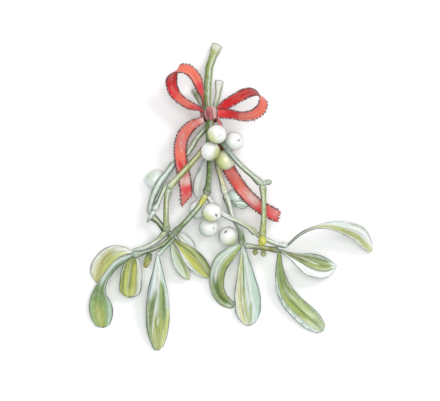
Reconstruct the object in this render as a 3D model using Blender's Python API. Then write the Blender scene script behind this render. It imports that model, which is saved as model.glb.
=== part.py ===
"""A bunch of mistletoe tied with a red picot ribbon, lying on a table.

The cut stems point to +Y, the leaves hang towards -Y and the table is at Z = 0. The stems fan out
under the ribbon's knot and rest on the main stem's cut end and on the leaf tips. Each internode of
the jointed stems, each leaf, berry and bud, and each run of the ribbon is a solid of its own.

Routes are listed in millimetres, from the cut end or the base of the piece to its tip.
"""
import math

import bmesh
import bpy
import numpy as np
from mathutils import Matrix, Vector

# driving dimensions, in millimetres unless a share is meant
MM = 0.001
FINE_POINTS = 60
SETTLING_ROUNDS = 4

STEM_SIDES = 8
STEM_STEP = 7.0
STEM_RADIUS = 1.45
MAIN_STEM_RADIUS = 2.1
CUT_END_RADIUS = 3.1
JOINT_SWELL = 1.38
JOINT_LENGTH = 3.5
JOINT_ROUNDING = 0.9
ROUNDED_END = 0.72
STEM_DOME = 0.3
STEM_GUIDE = np.array([0.15, 0.1, 1.0])

LEAF_SECTION_SIDES = 8
LEAF_THICKNESS = 1.1
LEAF_RINGS = 12
LEAF_DOME = 0.5
END_CROWDING = 0.6
OBOVATE = (0.14, 0.25, 0.50, 0.80, 0.97, 0.97, 0.77, 0.25)
LONG = (0.16, 0.42, 0.70, 0.90, 1.00, 0.96, 0.78, 0.36)
BROAD = (0.14, 0.34, 0.56, 0.76, 0.94, 1.00, 0.92, 0.44)
STRAP_LEAF = (0.20, 0.48, 0.76, 0.92, 1.00, 0.98, 0.84, 0.34)
SWEEPING = (0.18, 0.36, 0.58, 0.80, 0.95, 1.00, 0.96, 0.50)
BLUNT = (0.48, 0.78, 0.92, 1.00, 1.00, 1.00, 0.94, 0.56)
CURLED = (0.26, 0.74, 0.94, 1.00, 0.94, 0.80, 0.64, 0.36)
DROOPING = (0.20, 0.40, 0.50, 0.52, 0.70, 0.98, 1.00, 0.58)
ARCHED = (0.16, 0.34, 0.50, 0.66, 0.84, 1.00, 0.98, 0.46)

BERRY_RADIUS = 5.25
BERRY_SEGMENTS = 12
BERRY_RINGS = 8
BERRY_LENGTH = 1.04

BUD_SIDES = 8
BUD_TAPER = (0.62, 0.95, 1.0, 0.82, 0.42)
BUD_DOME = 0.5

RIBBON_WIDTH = 6.0
RIBBON_THICKNESS = 0.7
RIBBON_STEP = 4.0
RIBBON_DOME = 0.15
KNOT_SIZE = (6.3, 7.2, 3.0)
KNOT_SIDES = 8
LEFT_LOOP_TILT = (-0.51, -0.68, 0.53)
LEFT_BEND_TILT = (-0.86, -0.36, 0.38)
RIGHT_LOOP_TILT = (-0.60, 0.60, 0.53)
RIGHT_FACE_TILT = (-0.30, 0.80, 0.50)

TIE = (-12.0, 42.4, 19.4)

# colours
OLIVE = (0.30, 0.34, 0.10)
DARK_STEM = (0.16, 0.24, 0.08)
LEAF_GREEN = (0.36, 0.47, 0.17)
PALE_LEAF = (0.60, 0.74, 0.52)
BERRY_WHITE = (0.88, 0.90, 0.80)
BUD_GREEN = (0.46, 0.50, 0.08)
RIBBON_RED = (0.72, 0.06, 0.05)


def remove_everything():
    for item in list(bpy.data.objects):
        bpy.data.objects.remove(item, do_unlink=True)


def plain_material(name, colour, roughness):
    material = bpy.data.materials.new(name)
    material.use_nodes = True
    shader = material.node_tree.nodes["Principled BSDF"]
    shader.inputs["Base Color"].default_value = (*colour, 1.0)
    shader.inputs["Roughness"].default_value = roughness
    shader.inputs["Metallic"].default_value = 0.0
    material.diffuse_color = (*colour, 1.0)
    return material


def spline(points, count):
    """A Catmull-Rom curve through the points, at evenly spaced distances along its length."""
    points = np.asarray(points, dtype=float)
    padded = np.vstack([2 * points[0] - points[1], points, 2 * points[-1] - points[-2]])
    fine = []
    for index in range(len(points) - 1):
        p0, p1, p2, p3 = padded[index:index + 4]
        for t in np.linspace(0.0, 1.0, 24, endpoint=False):
            fine.append(0.5 * (2 * p1 + (p2 - p0) * t + (2 * p0 - 5 * p1 + 4 * p2 - p3) * t ** 2
                               + (3 * p1 - p0 - 3 * p2 + p3) * t ** 3))
    fine.append(points[-1])
    fine = np.array(fine)
    steps = np.linalg.norm(np.diff(fine[:, :3], axis=0), axis=1)
    distance = np.concatenate([[0.0], np.cumsum(steps)])
    wanted = np.linspace(0.0, distance[-1], count)
    return np.column_stack([np.interp(wanted, distance, fine[:, axis]) for axis in range(fine.shape[1])])


def route_length(points):
    points = np.asarray(points, dtype=float)
    return float(np.linalg.norm(np.diff(points, axis=0), axis=1).sum())


def directions(path):
    """The unit direction of travel at each point of the path."""
    tangent = np.gradient(path, axis=0)
    return tangent / np.linalg.norm(tangent, axis=1, keepdims=True)


def square_to(tangent, facing):
    """Side and face directions square to the travel, the face as near to `facing` as it can be."""
    side = np.cross(tangent, facing)
    side /= np.linalg.norm(side, axis=1, keepdims=True)
    return side, np.cross(side, tangent)


def loft(name, rings, first_pole, last_pole, material):
    """One closed solid from rings of equal count, closed at each end by a fan around a pole."""
    shape = bmesh.new()
    loops = [[shape.verts.new(Vector(point) * MM) for point in ring] for ring in rings]
    count = len(loops[0])
    for lower, upper in zip(loops, loops[1:]):
        for index in range(count):
            after = (index + 1) % count
            shape.faces.new((lower[index], lower[after], upper[after], upper[index]))
    for loop, pole in ((loops[0], first_pole), (loops[-1], last_pole)):
        tip = shape.verts.new(Vector(pole) * MM)
        for index in range(count):
            shape.faces.new((loop[index], loop[(index + 1) % count], tip))
    bmesh.ops.triangulate(shape, faces=shape.faces[:])
    bmesh.ops.recalc_face_normals(shape, faces=shape.faces[:])
    if shape.calc_volume(signed=True) < 0:
        bmesh.ops.reverse_faces(shape, faces=shape.faces[:])
    return add_object(name, shape, material)


def add_object(name, shape, material):
    mesh = bpy.data.meshes.new(name)
    shape.to_mesh(mesh)
    shape.free()
    mesh.shade_smooth()
    mesh.set_sharp_from_angle(angle=math.radians(50.0))
    item = bpy.data.objects.new(name, mesh)
    bpy.context.scene.collection.objects.link(item)
    item.data.materials.append(material)
    return item


def settled(rings, share):
    """The rings lowered in step with `share` until their lowest point is on the table, at Z = 0."""
    for _ in range(SETTLING_ROUNDS):
        lowest = min(ring[:, 2].min() for ring in rings)
        for ring, part in zip(rings, share):
            ring[:, 2] -= lowest * part
    return rings


def round_rings(path, radii, sides):
    """Circles square to the path."""
    side, face = square_to(directions(path), STEM_GUIDE)
    turns = np.arange(sides) * 2 * math.pi / sides
    return [centre + r * (np.outer(np.cos(turns), s) + np.outer(np.sin(turns), f))
            for centre, r, s, f in zip(path, radii, side, face)]


def poles(rings, dome):
    """The two points that close a run of rings, a dome's height outside its end rings."""
    first, last = rings[0].mean(axis=0), rings[-1].mean(axis=0)
    back = first - rings[1].mean(axis=0)
    ahead = last - rings[-2].mean(axis=0)
    return first + dome * back / np.linalg.norm(back), last + dome * ahead / np.linalg.norm(ahead)


def stem(name, route, material, radius=STEM_RADIUS, start=None, end=None, cut=False, belly=0.0,
         rests=False):
    """A round internode that swells into its joint at both ends.

    `start` and `end` are the radii at the two ends, the swollen joint's where none is given. A `cut`
    start is square and flat, the other ends are rounded off. `belly` thickens the middle by that
    share, and a stem that `rests` is let down onto the table at its start."""
    start = radius * JOINT_SWELL if start is None else start
    end = radius * JOINT_SWELL if end is None else end
    length = route_length(route)
    inner = np.linspace(JOINT_ROUNDING, length - JOINT_ROUNDING, max(3, round(length / STEM_STEP) + 2))
    along = np.concatenate([[0.0], inner, [length]])
    fine = spline(route, FINE_POINTS)
    path = np.column_stack([np.interp(along, np.linspace(0.0, length, FINE_POINTS), fine[:, axis])
                            for axis in range(3)])
    swell = radius * (1.0 + belly * np.sin(math.pi * along / length) ** 2)
    swell += (start - radius) * np.exp(-(along / JOINT_LENGTH) ** 2)
    swell += (end - radius) * np.exp(-((length - along) / JOINT_LENGTH) ** 2)
    swell[-1] *= ROUNDED_END
    if not cut:
        swell[0] *= ROUNDED_END
    rings = round_rings(path, swell, STEM_SIDES)
    if rests:
        rings = settled(rings, 1.0 - along / length)
    return loft(name, rings, *poles(rings, STEM_DOME), material)


def leaf(name, route, width, facing, material, outline=None, cup=0.12, rests=False):
    """A thick leathery leaf along the route, its upper face turned to `facing`.

    The facing may be one direction or one for each point of the route. `outline` gives the share of
    the width from base to tip, `cup` lifts the edges by that share of the half-width, and a leaf
    that `rests` is let down onto the table at its tip."""
    outline = OBOVATE if outline is None else outline
    route = np.asarray(route, dtype=float)
    facing = np.broadcast_to(np.asarray(facing, dtype=float), route.shape)
    stations = np.linspace(0.0, 1.0, FINE_POINTS)
    fine = spline(np.hstack([route, facing]), FINE_POINTS)
    breadth = spline(np.column_stack([np.linspace(0.0, 1.0, len(outline)), outline]), FINE_POINTS)
    eased = 0.5 - 0.5 * np.cos(math.pi * np.linspace(0.0, 1.0, LEAF_RINGS))
    share = END_CROWDING * eased + (1.0 - END_CROWDING) * np.linspace(0.0, 1.0, LEAF_RINGS)
    both = np.column_stack([np.interp(share, stations, fine[:, axis]) for axis in range(6)])
    path, facing = both[:, :3], both[:, 3:]
    side, face = square_to(directions(path), facing)
    half = 0.5 * width * np.interp(share, breadth[:, 0], breadth[:, 1])
    turns = np.arange(LEAF_SECTION_SIDES) * 2 * math.pi / LEAF_SECTION_SIDES
    across, lift = np.cos(turns), np.sin(turns)
    rings = []
    for centre, h, s, f in zip(path, half, side, face):
        rise = 0.5 * LEAF_THICKNESS * lift + cup * h * (across ** 2 - 0.5)
        rings.append(centre + np.outer(h * across, s) + np.outer(rise, f))
    if rests:
        rings = settled(rings, share)
    return loft(name, rings, *poles(rings, LEAF_DOME), material)


def berry(name, centre, eye, material, radius=BERRY_RADIUS):
    """A round berry whose poles lie on the line from its seat to its eye, the old flower's scar."""
    shape = bmesh.new()
    bmesh.ops.create_uvsphere(shape, u_segments=BERRY_SEGMENTS, v_segments=BERRY_RINGS, radius=radius * MM)
    stretch = Matrix.Diagonal((1.0, 1.0, BERRY_LENGTH, 1.0))
    turn = Vector(eye).to_track_quat("Z", "Y").to_matrix().to_4x4()
    move = Matrix.Translation(Vector(centre) * MM)
    bmesh.ops.transform(shape, matrix=move @ turn @ stretch, verts=shape.verts[:])
    bmesh.ops.triangulate(shape, faces=shape.faces[:])
    return add_object(name, shape, material)


def bud(name, route, radius, material):
    """A small pointed bud: a tapering round body along a short route."""
    rings = round_rings(spline(route, len(BUD_TAPER)), radius * np.array(BUD_TAPER), BUD_SIDES)
    return loft(name, rings, *poles(rings, BUD_DOME), material)


def strap(name, route, material, facing=None, edge=None, widths=(RIBBON_WIDTH, RIBBON_WIDTH), slant=0.0):
    """A run of flat ribbon along the route.

    Its good side turns to `facing`, or its width lies along `edge`: one direction, or one for each
    point of the route. `widths` are its widths along the route, narrower where it is gathered into
    the knot, and `slant` carries one edge further than the other at the cut end."""
    route = np.asarray(route, dtype=float)
    guide = np.broadcast_to(np.asarray(edge if facing is None else facing, dtype=float), route.shape)
    count = max(5, round(route_length(route) / RIBBON_STEP) + 1)
    both = spline(np.hstack([route, guide]), count)
    path, guide = both[:, :3], both[:, 3:]
    tangent = directions(path)
    if facing is None:
        guide = np.cross(guide, tangent)
    side, face = square_to(tangent, guide)
    share = np.linspace(0.0, 1.0, count)
    half = 0.5 * np.interp(share, np.linspace(0.0, 1.0, len(widths)), widths)
    lead = slant * share ** 8
    rings = []
    for centre, h, s, f, t, ahead in zip(path, half, side, face, tangent, lead):
        corners = [centre + across * (h * s + ahead * t) + 0.5 * lift * RIBBON_THICKNESS * f
                   for across, lift in ((1, 1), (-1, 1), (-1, -1), (1, -1))]
        rings.append(np.array(corners))
    return loft(name, rings, *poles(rings, RIBBON_DOME), material)


def knot(name, centre, material):
    """The knot: ribbon wrapped once over the middle of the bow, a flattened barrel."""
    stations = np.linspace(-1.0, 1.0, 5)
    turns = np.arange(KNOT_SIDES) * 2 * math.pi / KNOT_SIDES
    length, breadth, height = KNOT_SIZE
    rings = []
    for share in stations:
        swell = 1.0 - 0.3 * share ** 2
        ring = [Vector(centre) + Vector((0.5 * length * share, 0.5 * breadth * swell * math.cos(turn),
                                         0.5 * height * swell * math.sin(turn))) for turn in turns]
        rings.append(ring)
    reach = Vector((0.5 * length + RIBBON_DOME, 0.0, 0.0))
    return loft(name, rings, Vector(centre) - reach, Vector(centre) + reach, material)


def make_stems():
    """The jointed stems: each internode is its own piece between two swollen joints."""
    olive = plain_material("olive_stem", OLIVE, 0.6)
    dark = plain_material("dark_stem", DARK_STEM, 0.6)
    stem("stem_main", [(-8.2, 81.6, 3.2), (-9.9, 76.8, 5.2), (-12.1, 70.7, 8.0), (-12.9, 63.3, 11.8),
                       (-13.3, 55.9, 15.2), (-13.3, 49.1, 17.9), TIE, (-12.2, 36.0, 18.9),
                       (-11.9, 31.0, 16.8), (-11.6, 27.6, 15.2)],
         olive, MAIN_STEM_RADIUS, start=CUT_END_RADIUS, end=2.5, cut=True, rests=True)
    stem("stem_left_upper", [(-7.0, 61.8, 8.4), (-7.6, 54.8, 11.6), (-9.2, 48.3, 14.2), (-10.6, 42.4, 15.2),
                             (-13.6, 37.4, 14.8), (-19.8, 30.0, 13.6), (-23.9, 23.0, 12.6),
                             (-30.6, 18.2, 12.2)], olive, start=2.4, cut=True)
    stem("stem_left_lower", [(-31.3, 17.6, 12.2), (-35.6, 11.6, 12.3), (-38.7, 7.4, 12.2),
                             (-42.8, -0.8, 10.6), (-44.4, -9.2, 9.0)], olive, start=1.9, end=1.9, belly=0.4)
    stem("stem_left_elbow", [(-43.8, -10.7, 8.8), (-40.0, -14.0, 8.6), (-37.3, -17.5, 8.8),
                             (-35.0, -20.6, 9.0)], dark, radius=1.5, end=1.9)
    stem("stem_right_upper", [(-20.5, 57.5, 6.4), (-18.1, 53.2, 7.8), (-15.7, 48.3, 9.2),
                              (-13.4, 42.4, 10.8), (-9.4, 35.2, 13.0), (-5.0, 28.0, 17.8),
                              (-0.6, 22.6, 21.2), (3.4, 17.6, 21.2), (9.5, 12.2, 20.6), (15.6, 6.7, 19.6)],
         olive, start=1.9, cut=True)
    stem("stem_right_lower", [(16.5, 5.4, 19.3), (17.1, -1.4, 18.8), (17.2, -10.4, 18.8),
                              (16.8, -17.6, 19.4), (16.6, -21.2, 19.8)], olive)
    stem("stem_inner_left", [(-14.9, 26.0, 15.0), (-18.4, 21.6, 15.8), (-26.0, 13.2, 17.2),
                             (-33.8, 4.8, 17.2)], olive, radius=1.55, start=1.6)
    stem("stem_left_down", [(-34.3, 3.5, 16.3), (-35.3, -2.4, 16.2), (-35.6, -11.1, 16.0),
                            (-35.4, -18.6, 15.0)], olive)
    stem("stem_left_out", [(-36.0, 4.8, 18.9), (-37.9, 1.0, 18.6), (-39.8, -3.6, 17.2),
                           (-41.6, -7.2, 15.6)], dark, radius=1.15, start=1.2, end=1.8)
    stem("stem_centre", [(-11.7, 26.7, 14.8), (-11.9, 18.6, 14.6), (-12.4, 8.9, 15.2), (-13.6, 0.9, 15.7)],
         dark, radius=1.6, start=1.5, end=2.3)
    stem("stem_centre_left", [(-14.4, -0.1, 17.0), (-17.5, -5.3, 17.9), (-22.0, -10.6, 18.6),
                              (-26.5, -15.4, 19.2), (-31.0, -20.2, 19.8)], olive, start=1.7)
    stem("stem_centre_right", [(-12.7, -0.7, 14.1), (-9.0, -6.5, 13.6), (-4.6, -10.0, 14.6),
                               (0.5, -12.6, 16.6), (6.4, -15.2, 17.2), (13.0, -20.2, 15.8)],
         olive, radius=1.35, start=1.5)
    stem("stem_inner_right", [(-8.6, 26.2, 13.6), (-8.3, 18.1, 10.4), (-6.4, 11.0, 10.4),
                              (-3.9, 1.6, 11.0)], olive, radius=1.35, start=1.3)
    stem("stem_inner_right_lower", [(-3.4, 0.2, 11.1), (-1.6, -4.6, 11.6), (-0.3, -10.0, 12.2),
                                    (2.2, -14.1, 12.6), (4.9, -20.3, 13.6), (5.4, -25.6, 14.2)], dark)
    stem("stem_low_right", [(7.4, -27.0, 14.2), (13.4, -27.7, 13.6), (19.5, -28.6, 13.2),
                            (24.8, -29.2, 13.0)], olive, radius=1.3, start=1.5)
    stem("stem_far_right", [(13.9, -20.8, 15.7), (20.5, -24.6, 15.8), (25.5, -26.2, 16.6),
                            (29.2, -26.8, 17.2)], olive, radius=1.2)
    stem("stem_low_left", [(-31.8, -21.0, 19.9), (-37.0, -26.0, 19.8), (-44.3, -29.5, 18.8),
                           (-52.8, -31.8, 17.4)], dark, radius=1.15, start=1.3, end=2.0)
    stem("stem_long_leaf", [(-31.6, -21.9, 17.0), (-36.0, -27.8, 16.8), (-38.6, -30.2, 16.9),
                            (-40.0, -31.8, 17.0)], olive, radius=1.1, start=1.2, end=1.4)
    stem("stem_low_left_back", [(-36.3, -20.0, 14.7), (-40.4, -24.2, 13.8), (-46.0, -27.4, 13.2),
                                (-53.2, -30.4, 12.6)], olive, radius=1.25)
    stem("stub_left", [(-42.2, -8.5, 15.2), (-44.0, -11.4, 14.8), (-45.4, -13.6, 14.4)], olive, radius=1.0,
         start=1.2, end=0.9)
    stem("stub_right", [(17.2, 6.9, 20.0), (18.8, 7.2, 20.4), (20.6, 7.4, 20.8)], olive, radius=1.1,
         start=1.2, end=1.4)


def make_leaves():
    """Leathery leaves, most with their upper face to the sky and their tips down on the table."""
    green = plain_material("leaf_green", LEAF_GREEN, 0.5)
    pale = plain_material("leaf_pale", PALE_LEAF, 0.5)
    leaf("leaf_long", [(-40.1, -33.1, 17.0), (-40.3, -48.0, 13.0), (-40.4, -66.0, 6.0),
                       (-40.1, -83.4, 1.1)], 13.6, (0.25, 0.2, 1.0), green, outline=LONG, rests=True)
    leaf("leaf_left_droop", [(-54.3, -32.5, 17.2), (-63.2, -38.0, 15.0), (-70.2, -48.4, 9.0),
                             (-71.2, -59.0, 4.0), (-70.2, -71.2, 1.1)],
         12.6, [(-0.3, 0.5, 0.8), (-0.6, 0.5, 0.6), (-0.6, 0.3, 0.7), (-0.1, 0.2, 1.0), (0.0, 0.2, 1.0)],
         green, outline=DROOPING, rests=True)
    leaf("leaf_left_short", [(-53.0, -34.3, 16.0), (-54.4, -42.0, 12.6), (-55.6, -54.6, 6.0)],
         12.0, (0.1, 0.35, 1.0), green, outline=BLUNT)
    leaf("leaf_left_behind", [(-54.5, -30.4, 12.4), (-60.0, -30.0, 11.4), (-66.0, -32.4, 8.0),
                              (-71.0, -38.6, 3.8), (-73.6, -46.6, 1.1)], 10.8, (-0.1, 0.1, 1.0), pale,
         outline=STRAP_LEAF, rests=True)
    leaf("leaf_inner_small", [(-34.4, -22.1, 8.1), (-29.9, -33.6, 8.0), (-23.4, -45.2, 4.0)], 8.4,
         (0.6, 0.2, 1.0), pale)
    leaf("leaf_inner_broad", [(-33.8, -21.4, 9.5), (-22.8, -32.0, 10.6), (-12.2, -44.4, 5.0)], 11.0,
         (-0.3, -0.2, 1.0), green)
    leaf("leaf_inner_back", [(-32.9, -19.4, 8.4), (-27.0, -22.6, 8.0), (-20.6, -31.0, 6.0)], 7.0,
         (0.3, 0.2, 1.0), pale)
    leaf("leaf_curl", [(4.5, -27.0, 14.6), (-1.1, -31.4, 15.0), (-6.0, -36.8, 13.6), (-8.1, -44.8, 9.6),
                       (-7.2, -52.4, 5.2), (-3.6, -57.4, 2.4), (0.8, -59.8, 1.4)], 10.0,
         (-0.4, 0.3, 1.0), green, outline=CURLED, rests=True)
    leaf("leaf_broad", [(5.9, -27.4, 12.7), (7.4, -43.0, 9.0), (8.6, -58.6, 3.6), (9.6, -70.2, 1.1)], 14.4,
         (0.1, 0.2, 1.0), pale, outline=BROAD, rests=True)
    leaf("leaf_right_long", [(25.6, -31.3, 12.4), (26.0, -40.8, 10.2), (28.0, -49.6, 7.4),
                             (32.2, -57.0, 4.8), (37.6, -62.7, 3.0), (43.0, -67.4, 1.7),
                             (49.6, -73.0, 1.1)], 11.4, (-0.1, 0.2, 1.0), green, outline=SWEEPING,
         rests=True)
    leaf("leaf_right_side", [(26.5, -29.8, 13.2), (36.7, -34.6, 14.0), (47.5, -38.4, 10.4),
                             (56.6, -38.2, 6.4)], 12.8, (-0.1, 0.1, 1.0), green)
    leaf("leaf_right_arch", [(30.4, -26.3, 17.4), (36.7, -20.8, 20.0), (43.5, -17.4, 21.6),
                             (51.5, -16.4, 21.0), (60.4, -17.6, 16.6), (69.2, -21.2, 9.4),
                             (76.2, -29.4, 1.6)],
         10.0, [(-0.5, 0.6, 0.5), (-0.5, 0.8, 0.4), (-0.2, 0.9, 0.4), (0.1, 0.9, 0.6), (0.4, 0.5, 0.9),
                (0.5, 0.3, 0.9), (0.5, 0.2, 0.9)], pale, outline=ARCHED, rests=True)
    leaf("leaf_back_centre", [(-13.4, 25.6, 12.6), (-15.0, 14.0, 9.4), (-17.0, 6.0, 7.2),
                              (-18.6, -1.2, 4.4)], 8.4, (0.2, 0.1, 1.0), pale)
    leaf("leaf_young", [(0.2, -2.9, 12.2), (4.2, -4.6, 12.2), (8.2, -5.4, 11.2)], 4.6, (0.1, 0.4, 1.0),
         green)


def make_berries():
    """White berries in the forks of the stems, each with its eye away from its seat."""
    white = plain_material("berry_white", BERRY_WHITE, 0.35)
    berry("berry_top", (-8.1, 33.2, 26.6), (0.3, -0.2, 1.0), white)
    berry("berry_top_right", (0.7, 29.4, 13.8), (0.55, 0.1, 0.8), white)
    berry("berry_fork", (-11.6, 24.0, 22.3), (-0.5, -0.4, 0.7), white)
    berry("berry_under_fork", (-3.4, 19.4, 15.4), (0.3, -0.8, 0.2), white)
    berry("berry_left", (-41.6, 8.9, 5.6), (-0.7, 0.2, 0.5), white)
    berry("berry_middle", (-10.8, -8.9, 20.5), (0.42, -0.28, 0.8), white)
    berry("berry_middle_low", (-12.7, -17.0, 13.5), (0.55, -0.1, 0.8), white)
    berry("berry_low", (-2.0, -21.9, 10.5), (-0.25, 0.45, 0.8), white)
    berry("berry_middle_left", (-18.2, -7.4, 10.8), (-0.6, -0.3, 0.5), white)
    berry("berry_behind_ribbon", (2.7, -0.8, 5.6), (0.5, 0.3, 0.7), white)


def make_buds():
    """Buds at the joints."""
    green = plain_material("bud_green", BUD_GREEN, 0.5)
    bud("bud_left", [(-44.6, -31.9, 17.7), (-45.6, -35.0, 17.8), (-46.8, -38.4, 16.8)], 1.8, green)
    bud("bud_right", [(16.5, -22.8, 19.6), (16.3, -25.2, 19.2), (16.0, -27.2, 18.4)], 2.1, green)
    bud("bud_low_left", [(12.6, -29.6, 13.4), (12.6, -30.5, 13.2), (12.5, -31.8, 13.0)], 1.4, green)
    bud("bud_low_right", [(17.1, -30.3, 13.2), (17.1, -31.2, 13.0), (17.0, -32.6, 12.8)], 1.5, green)


def make_ribbon():
    """One ribbon tied in a bow: band, knot, two loops and two tails, divided where they enter the knot."""
    red = plain_material("ribbon_red", RIBBON_RED, 0.55)
    strap("ribbon_band", [(-15.2, 43.0, 21.4), (-16.0, 43.0, 18.6), (-17.0, 42.9, 13.6),
                          (-16.7, 42.7, 9.6), (-13.6, 42.4, 6.7), (-9.7, 42.4, 9.2), (-7.8, 42.6, 13.4),
                          (-8.0, 42.8, 17.6), (-8.8, 42.8, 21.4)],
          red, facing=[(-1, 0, 0.3), (-1, 0, 0.1), (-1, 0, -0.2), (-0.7, 0, -0.7), (0, 0, -1),
                       (0.6, 0, -0.7), (1, 0, -0.2), (1, 0, 0.1), (1, 0, 0.3)],
          widths=(4.0, 4.4, 4.4, 4.0))
    knot("ribbon_knot", (-11.6, 44.5, 23.9), red)
    strap("ribbon_loop_left", [(-15.9, 47.7, 22.8), (-15.8, 50.8, 20.8), (-16.3, 55.2, 19.8),
                               (-17.7, 59.9, 22.4), (-20.3, 64.7, 25.8), (-23.8, 67.8, 27.4),
                               (-27.2, 68.4, 27.6), (-30.2, 67.2, 26.2), (-32.2, 64.4, 23.2),
                               (-32.6, 61.0, 19.8), (-31.8, 57.2, 17.2), (-29.9, 54.2, 16.0),
                               (-27.0, 51.4, 15.8), (-23.2, 49.1, 17.0), (-19.2, 47.2, 20.6),
                               (-16.1, 45.4, 24.0)],
          red, widths=(3.4, 4.6, 6, 6, 6, 6, 5.8, 5.6, 4.6, 3.2),
          edge=[(0.1, -0.2, 1.0), (0.0, -0.2, 1.0), (-0.3, -0.5, 0.8)] + [LEFT_LOOP_TILT] * 4
          + [(-0.70, -0.50, 0.50), LEFT_BEND_TILT, LEFT_BEND_TILT, (-0.75, -0.50, 0.45)]
          + [(-0.60, -0.60, 0.53), (-0.42, -0.60, 0.68), (-0.42, -0.60, 0.68), (-0.3, -0.5, 0.7)]
          + [(0.0, -0.2, 1.0)])
    strap("ribbon_loop_right", [(-7.4, 46.6, 22.4), (-4.3, 48.6, 21.0), (-0.4, 50.9, 21.2),
                                (3.6, 53.1, 22.4), (7.7, 55.2, 24.4), (11.3, 55.9, 26.4),
                                (14.5, 54.7, 28.2), (16.5, 51.6, 29.6), (16.3, 47.8, 30.0),
                                (13.8, 44.8, 29.4), (9.7, 42.9, 28.4), (5.0, 42.7, 27.2),
                                (0.3, 43.8, 25.8), (-3.9, 44.4, 24.9), (-7.6, 44.4, 24.6)],
          red, widths=(4.0, 5.6, 6, 6, 6, 6, 6, 5.8, 5.2, 4.4),
          edge=[(-0.45, 0.45, 0.75)] + [RIGHT_LOOP_TILT] * 10
          + [(-0.45, 0.70, 0.52), RIGHT_FACE_TILT, (-0.10, 0.95, 0.30), (0.0, 1.0, 0.20)])
    strap("ribbon_tail_left", [(-15.4, 40.9, 22.4), (-18.6, 39.6, 21.6), (-23.0, 36.8, 19.6),
                               (-26.5, 32.1, 17.6), (-27.9, 26.2, 16.4), (-27.7, 20.3, 15.6),
                               (-26.2, 12.2, 13.4), (-25.1, 6.0, 11.6), (-24.5, -2.2, 9.6)],
          red, facing=(0.05, 0.1, 1.0), widths=(3.0, 4.8, 6, 6, 6, 6, 6, 6), slant=3.2)
    strap("ribbon_tail_right", [(-7.7, 40.6, 22.4), (-5.4, 36.8, 17.6), (-4.3, 31.6, 8.3),
                                (-4.2, 24.0, 6.2), (-1.8, 15.1, 7.8), (1.1, 10.0, 10.0),
                                (5.9, 3.0, 11.7), (11.9, -3.2, 11.6), (17.0, -7.0, 11.0),
                                (24.8, -11.0, 9.8)],
          red, facing=[(0.7, 0.5, 0.5), (0.6, 0.4, 0.6), (0.2, 0.6, 0.8)] + [(0, 0, 1.0)] * 7,
          widths=(3.0, 4.4, 5.6, 6, 6, 6, 6, 6, 6), slant=0.4)


remove_everything()
make_stems()
make_leaves()
make_berries()
make_buds()
make_ribbon()
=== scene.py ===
"""A bunch of mistletoe tied with a red picot ribbon, lying on a pale table.

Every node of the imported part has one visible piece, and every berry has a cup besides. A piece's
middle line, widths and facing are read from its node's rings, and a finer surface is swept along
them. Lengths are in metres and Z is up from the table.
"""

import math

import bpy
import numpy as np
from bpy.props import FloatProperty, FloatVectorProperty, PointerProperty
from bpy.types import Operator, Panel, PropertyGroup
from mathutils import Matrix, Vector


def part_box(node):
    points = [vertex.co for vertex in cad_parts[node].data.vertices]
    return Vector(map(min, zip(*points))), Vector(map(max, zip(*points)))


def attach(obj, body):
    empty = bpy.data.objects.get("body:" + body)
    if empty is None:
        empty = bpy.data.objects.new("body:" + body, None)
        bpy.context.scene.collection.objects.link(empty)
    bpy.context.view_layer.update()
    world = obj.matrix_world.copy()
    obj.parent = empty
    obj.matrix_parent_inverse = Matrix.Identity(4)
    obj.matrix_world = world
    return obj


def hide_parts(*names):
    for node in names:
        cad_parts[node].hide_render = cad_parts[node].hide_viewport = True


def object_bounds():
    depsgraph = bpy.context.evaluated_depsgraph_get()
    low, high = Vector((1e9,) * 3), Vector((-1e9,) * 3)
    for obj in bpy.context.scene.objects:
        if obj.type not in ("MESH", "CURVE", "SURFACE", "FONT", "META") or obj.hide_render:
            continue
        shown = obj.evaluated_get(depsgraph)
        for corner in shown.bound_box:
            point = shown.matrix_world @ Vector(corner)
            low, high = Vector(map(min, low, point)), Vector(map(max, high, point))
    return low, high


bl_info = {
    "name": "Mistletoe bunch",
    "version": (1, 0, 0),
    "blender": (4, 5, 0),
    "location": "View3D > Sidebar > Mistletoe",
    "description": "Grows the stems, leaves, berries and ribbon of a mistletoe bunch",
    "category": "Add Mesh",
}

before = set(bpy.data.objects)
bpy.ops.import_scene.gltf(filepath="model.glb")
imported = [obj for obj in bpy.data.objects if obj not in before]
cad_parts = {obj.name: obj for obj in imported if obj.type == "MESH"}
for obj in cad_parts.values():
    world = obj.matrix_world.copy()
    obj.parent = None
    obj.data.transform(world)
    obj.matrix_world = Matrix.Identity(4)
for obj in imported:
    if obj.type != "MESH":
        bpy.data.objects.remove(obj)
CAD_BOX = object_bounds()

BODY = "root"
MM = 0.001
CM = 0.01
UP = np.array([0.0, 0.0, 1.0])
# points of a node closer than this are one point
MERGE_DISTANCE = 2e-6
# the least square of a radius, so that no surface closes up wholly
LEAST_SQUARE = 1e-12
# nothing is lower than this over the table
TABLE_CLEARANCE = 0.00002
# the share of full whiteness that the palest paint reaches
PAINT_DEPTH = 0.86
# the turn about a stem or bud is counted from the direction square to it and to this one
STEM_GUIDE = np.array([0.15, 0.1, 1.0])
# how far a middle line goes on straight past its ends, and the step its direction is taken over
RUN_ON = 3 * MM
NUDGE = 0.05 * MM
# how many points a ring of each kind of node has, by the first letters of its name
RING_SIDES = {"stem": 8, "stub": 8, "leaf": 8, "bud_": 8, "ribb": 4, "berr": 12}

# a white sky, and lamps: place, size and power
SKY_COLOUR = (0.96, 0.98, 1.0, 1.0)
SKY_STRENGTH = 0.54
LAMPS = {"overhead": ((0.04, 0.10, 2.30), 1.3, 27.0), "side": ((0.55, 0.50, 0.95), 0.4, 4.2)}
FLOOR_REACH = 3.0
# how far the camera stands from the middle of the bunch, across and along it
VIEW_OFFSET = (-0.0063, -0.0021)

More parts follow.
